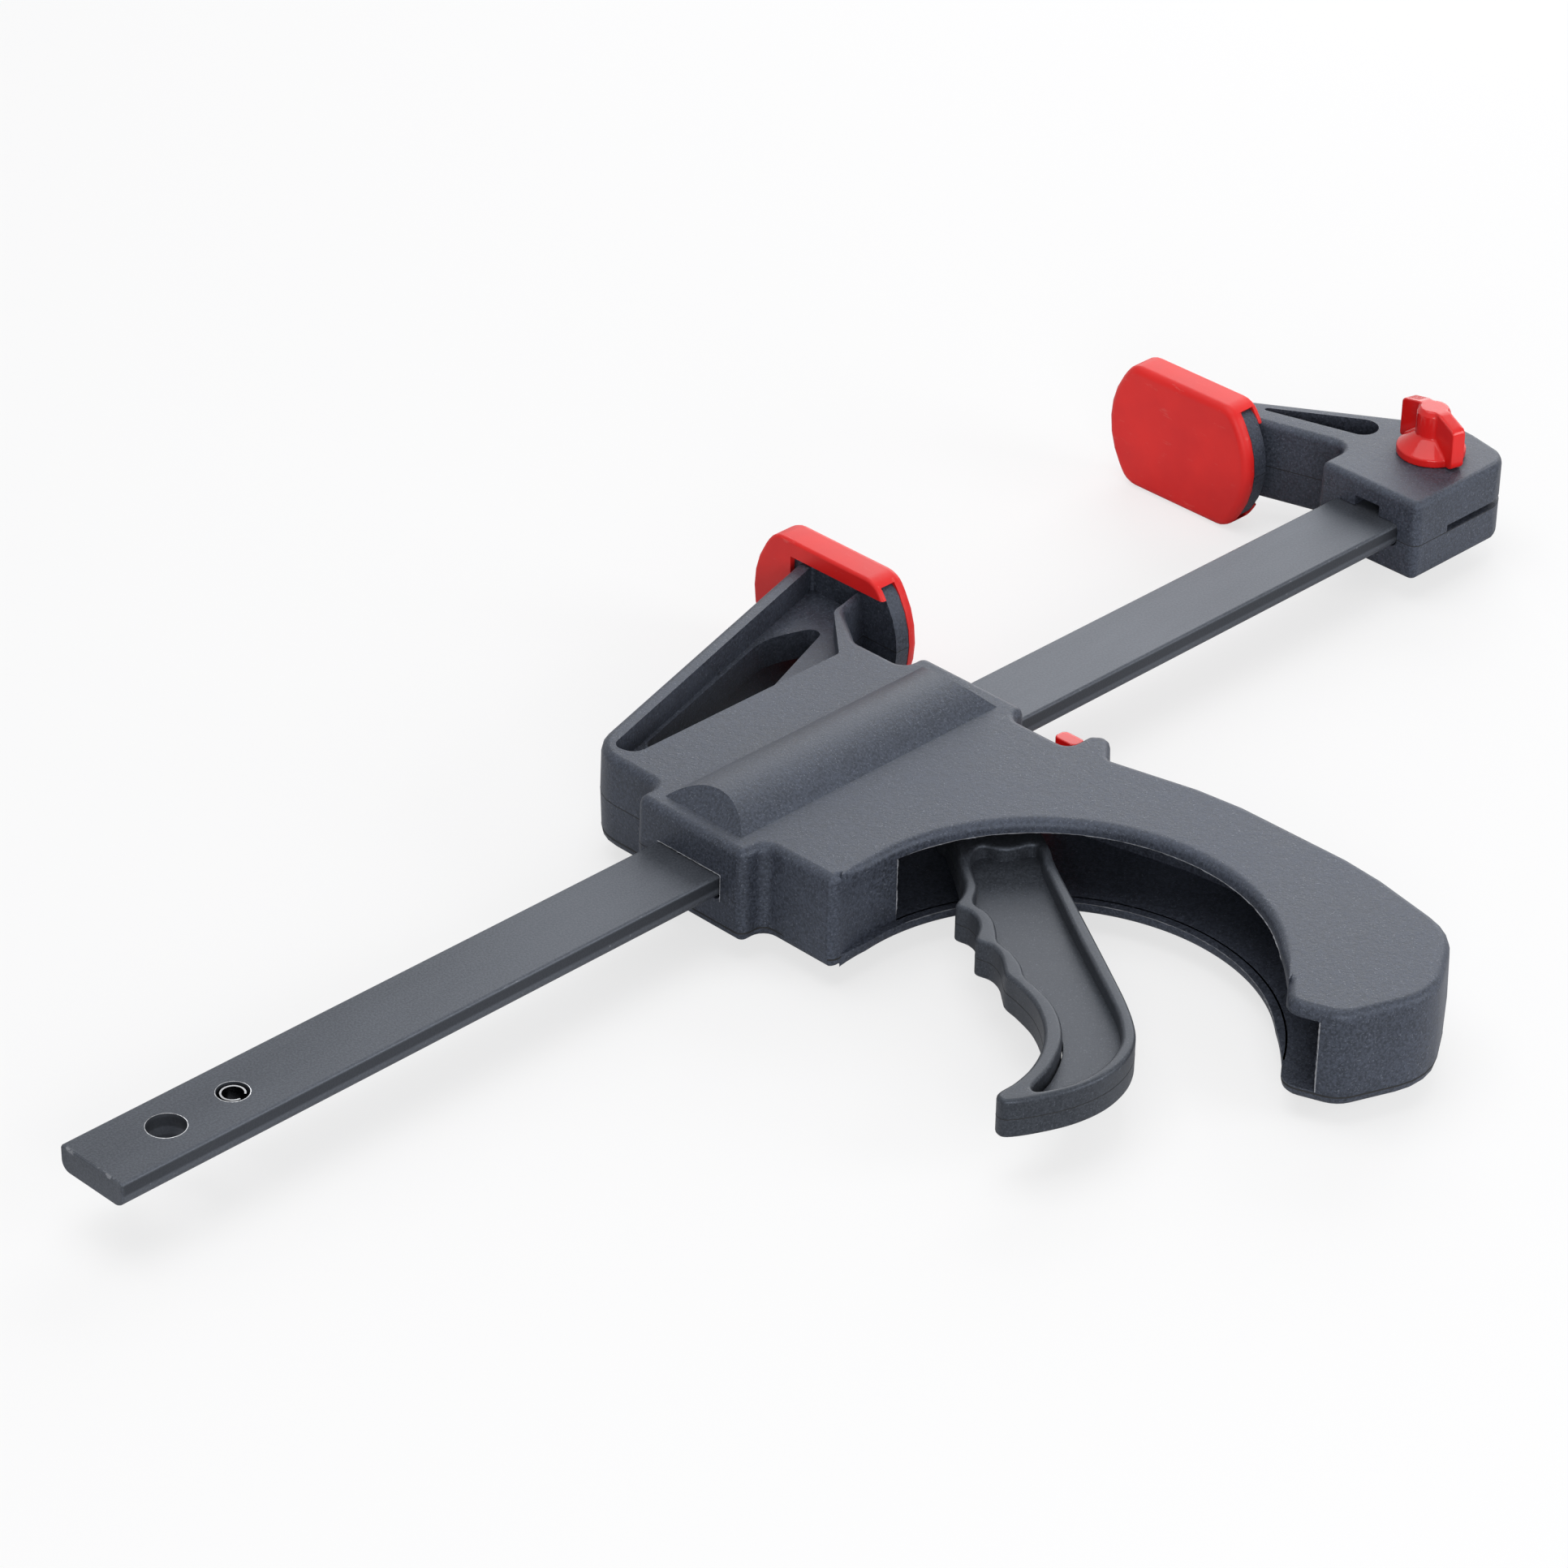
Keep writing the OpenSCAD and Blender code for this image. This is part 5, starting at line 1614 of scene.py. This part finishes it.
@dataclass
class Studio:
    """Pale floor, soft lamps and the camera of the photograph."""

    floor_mm: float = -16.4
    floor_size_mm: float = 4000.0
    paper: Colour = (0.78, 0.78, 0.79)
    glow: float = 1.05
    glow_share: float = 0.66
    sky: float = 0.3
    centre_mm: Tuple[float, float, float] = (205.0, -30.0, 0.0)
    camera_mm: Tuple[float, float, float] = (-546.22, -709.93, 632.20)
    yaw_deg: float = 44.71
    pitch_deg: float = 31.68
    roll_deg: float = -1.0
    lens_mm: float = 126.82
    sensor_mm: float = 36.0
    sight_m: Tuple[float, float] = (0.05, 50.0)
    lamps: Tuple[Lamp, ...] = (
        Lamp("key_lamp", (520.0, -1000.0, 420.0), 600.0, 5.4),
        Lamp("front_lamp", (-680.0, -800.0, 330.0), 500.0, 5.2),
        Lamp("top_lamp", (-150.0, 150.0, 1250.0), 1000.0, 7.0),
        Lamp("back_lamp", (935.0, 520.0, 480.0), 900.0, 6.5))

    def camera(self) -> None:
        """Camera at the photograph's place and angle."""
        yaw, pitch, roll = (math.radians(a) for a in (self.yaw_deg, self.pitch_deg, self.roll_deg))
        ahead = Vector((math.cos(yaw) * math.cos(pitch), math.sin(yaw) * math.cos(pitch),
                        -math.sin(pitch)))
        right = Vector((math.sin(yaw), -math.cos(yaw), 0.0))
        down = ahead.cross(right)
        across = math.cos(roll) * right + math.sin(roll) * down
        below = -math.sin(roll) * right + math.cos(roll) * down
        data = bpy.data.cameras.new("camera")
        data.lens = self.lens_mm
        data.sensor_width = self.sensor_mm
        data.clip_start, data.clip_end = self.sight_m
        made = placed("camera", data)
        turn = Matrix((across, -below, -ahead)).transposed().to_4x4()
        made.matrix_world = Matrix.Translation(Vector(self.camera_mm) * MM) @ turn
        bpy.context.scene.camera = made

    def floor(self) -> None:
        """Plain pale floor that reads as white to the camera and keeps the shadow."""
        mesh = bmesh.new()
        bmesh.ops.create_grid(mesh, x_segments=8, y_segments=8, size=self.floor_size_mm * MM)
        made = finished("studio_floor", mesh, 30.0)
        made.location = Vector((*self.centre_mm[:2], self.floor_mm)) * MM
        g = Graph(bpy.data.materials.new("studio_floor"))
        paper = g.add("ShaderNodeBsdfDiffuse", None, {"Color": (*self.paper, 1.0)})
        glow = g.add("ShaderNodeEmission", None, {"Color": (1.0, 1.0, 1.0, 1.0), "Strength": self.glow})
        seen = Value(g, g.add("ShaderNodeLightPath").outputs["Is Camera Ray"])
        both = g.add("ShaderNodeMixShader", None,
                     {0: seen * self.glow_share, 1: paper.outputs[0], 2: glow.outputs[0]})
        g.add("ShaderNodeOutputMaterial", None, {"Surface": both.outputs[0]})
        made.data.materials.append(g.owner)

    def world(self) -> None:
        """White surroundings for the camera and for reflections, dimmer as a light."""
        bpy.context.scene.world = bpy.data.worlds.new("studio")
        g = Graph(bpy.context.scene.world)
        path = g.add("ShaderNodeLightPath")
        seen = g.math("MAXIMUM", Value(g, path.outputs["Is Camera Ray"]),
                      Value(g, path.outputs["Is Glossy Ray"]))
        strength = self.sky + seen * (1.0 - self.sky)
        back = g.add("ShaderNodeBackground", None, {"Color": (1.0, 1.0, 1.0, 1.0), "Strength": strength})
        g.add("ShaderNodeOutputWorld", None, {"Surface": back.outputs[0]})

    def hang(self, lamp: Lamp) -> None:
        """Puts a lamp in its place.

        Args:
            lamp: the lamp.
        """
        data = bpy.data.lights.new(lamp.name, "AREA")
        data.size = lamp.size_mm * MM
        data.energy = lamp.watts
        made = placed(lamp.name, data)
        made.location = (Vector(self.centre_mm) + Vector(lamp.offset_mm)) * MM
        made.rotation_euler = (-Vector(lamp.offset_mm)).to_track_quat("-Z", "Y").to_euler()

    def build(self) -> None:
        """Sets up the whole studio."""
        bpy.context.scene.view_settings.view_transform = "Standard"
        self.camera()
        self.floor()
        self.world()
        for lamp in self.lamps:
            self.hang(lamp)
        LOG.info("studio ready")


def main(frame: Dict[str, Any]) -> None:
    """Builds the studio and the clamp's sub-assemblies in order.
    """
    Studio().build()
    bench = Bench(frame)
    for assembly in (SteelBar(bench), FixedJaw(bench), SlidingHead(bench), Mechanism(bench)):
        assembly.build()
        LOG.info("%s built", type(assembly).__name__)


if __name__ == "__main__":
    logging.basicConfig(level=logging.INFO, format="%(name)s: %(message)s")
    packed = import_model()
    main(packed)
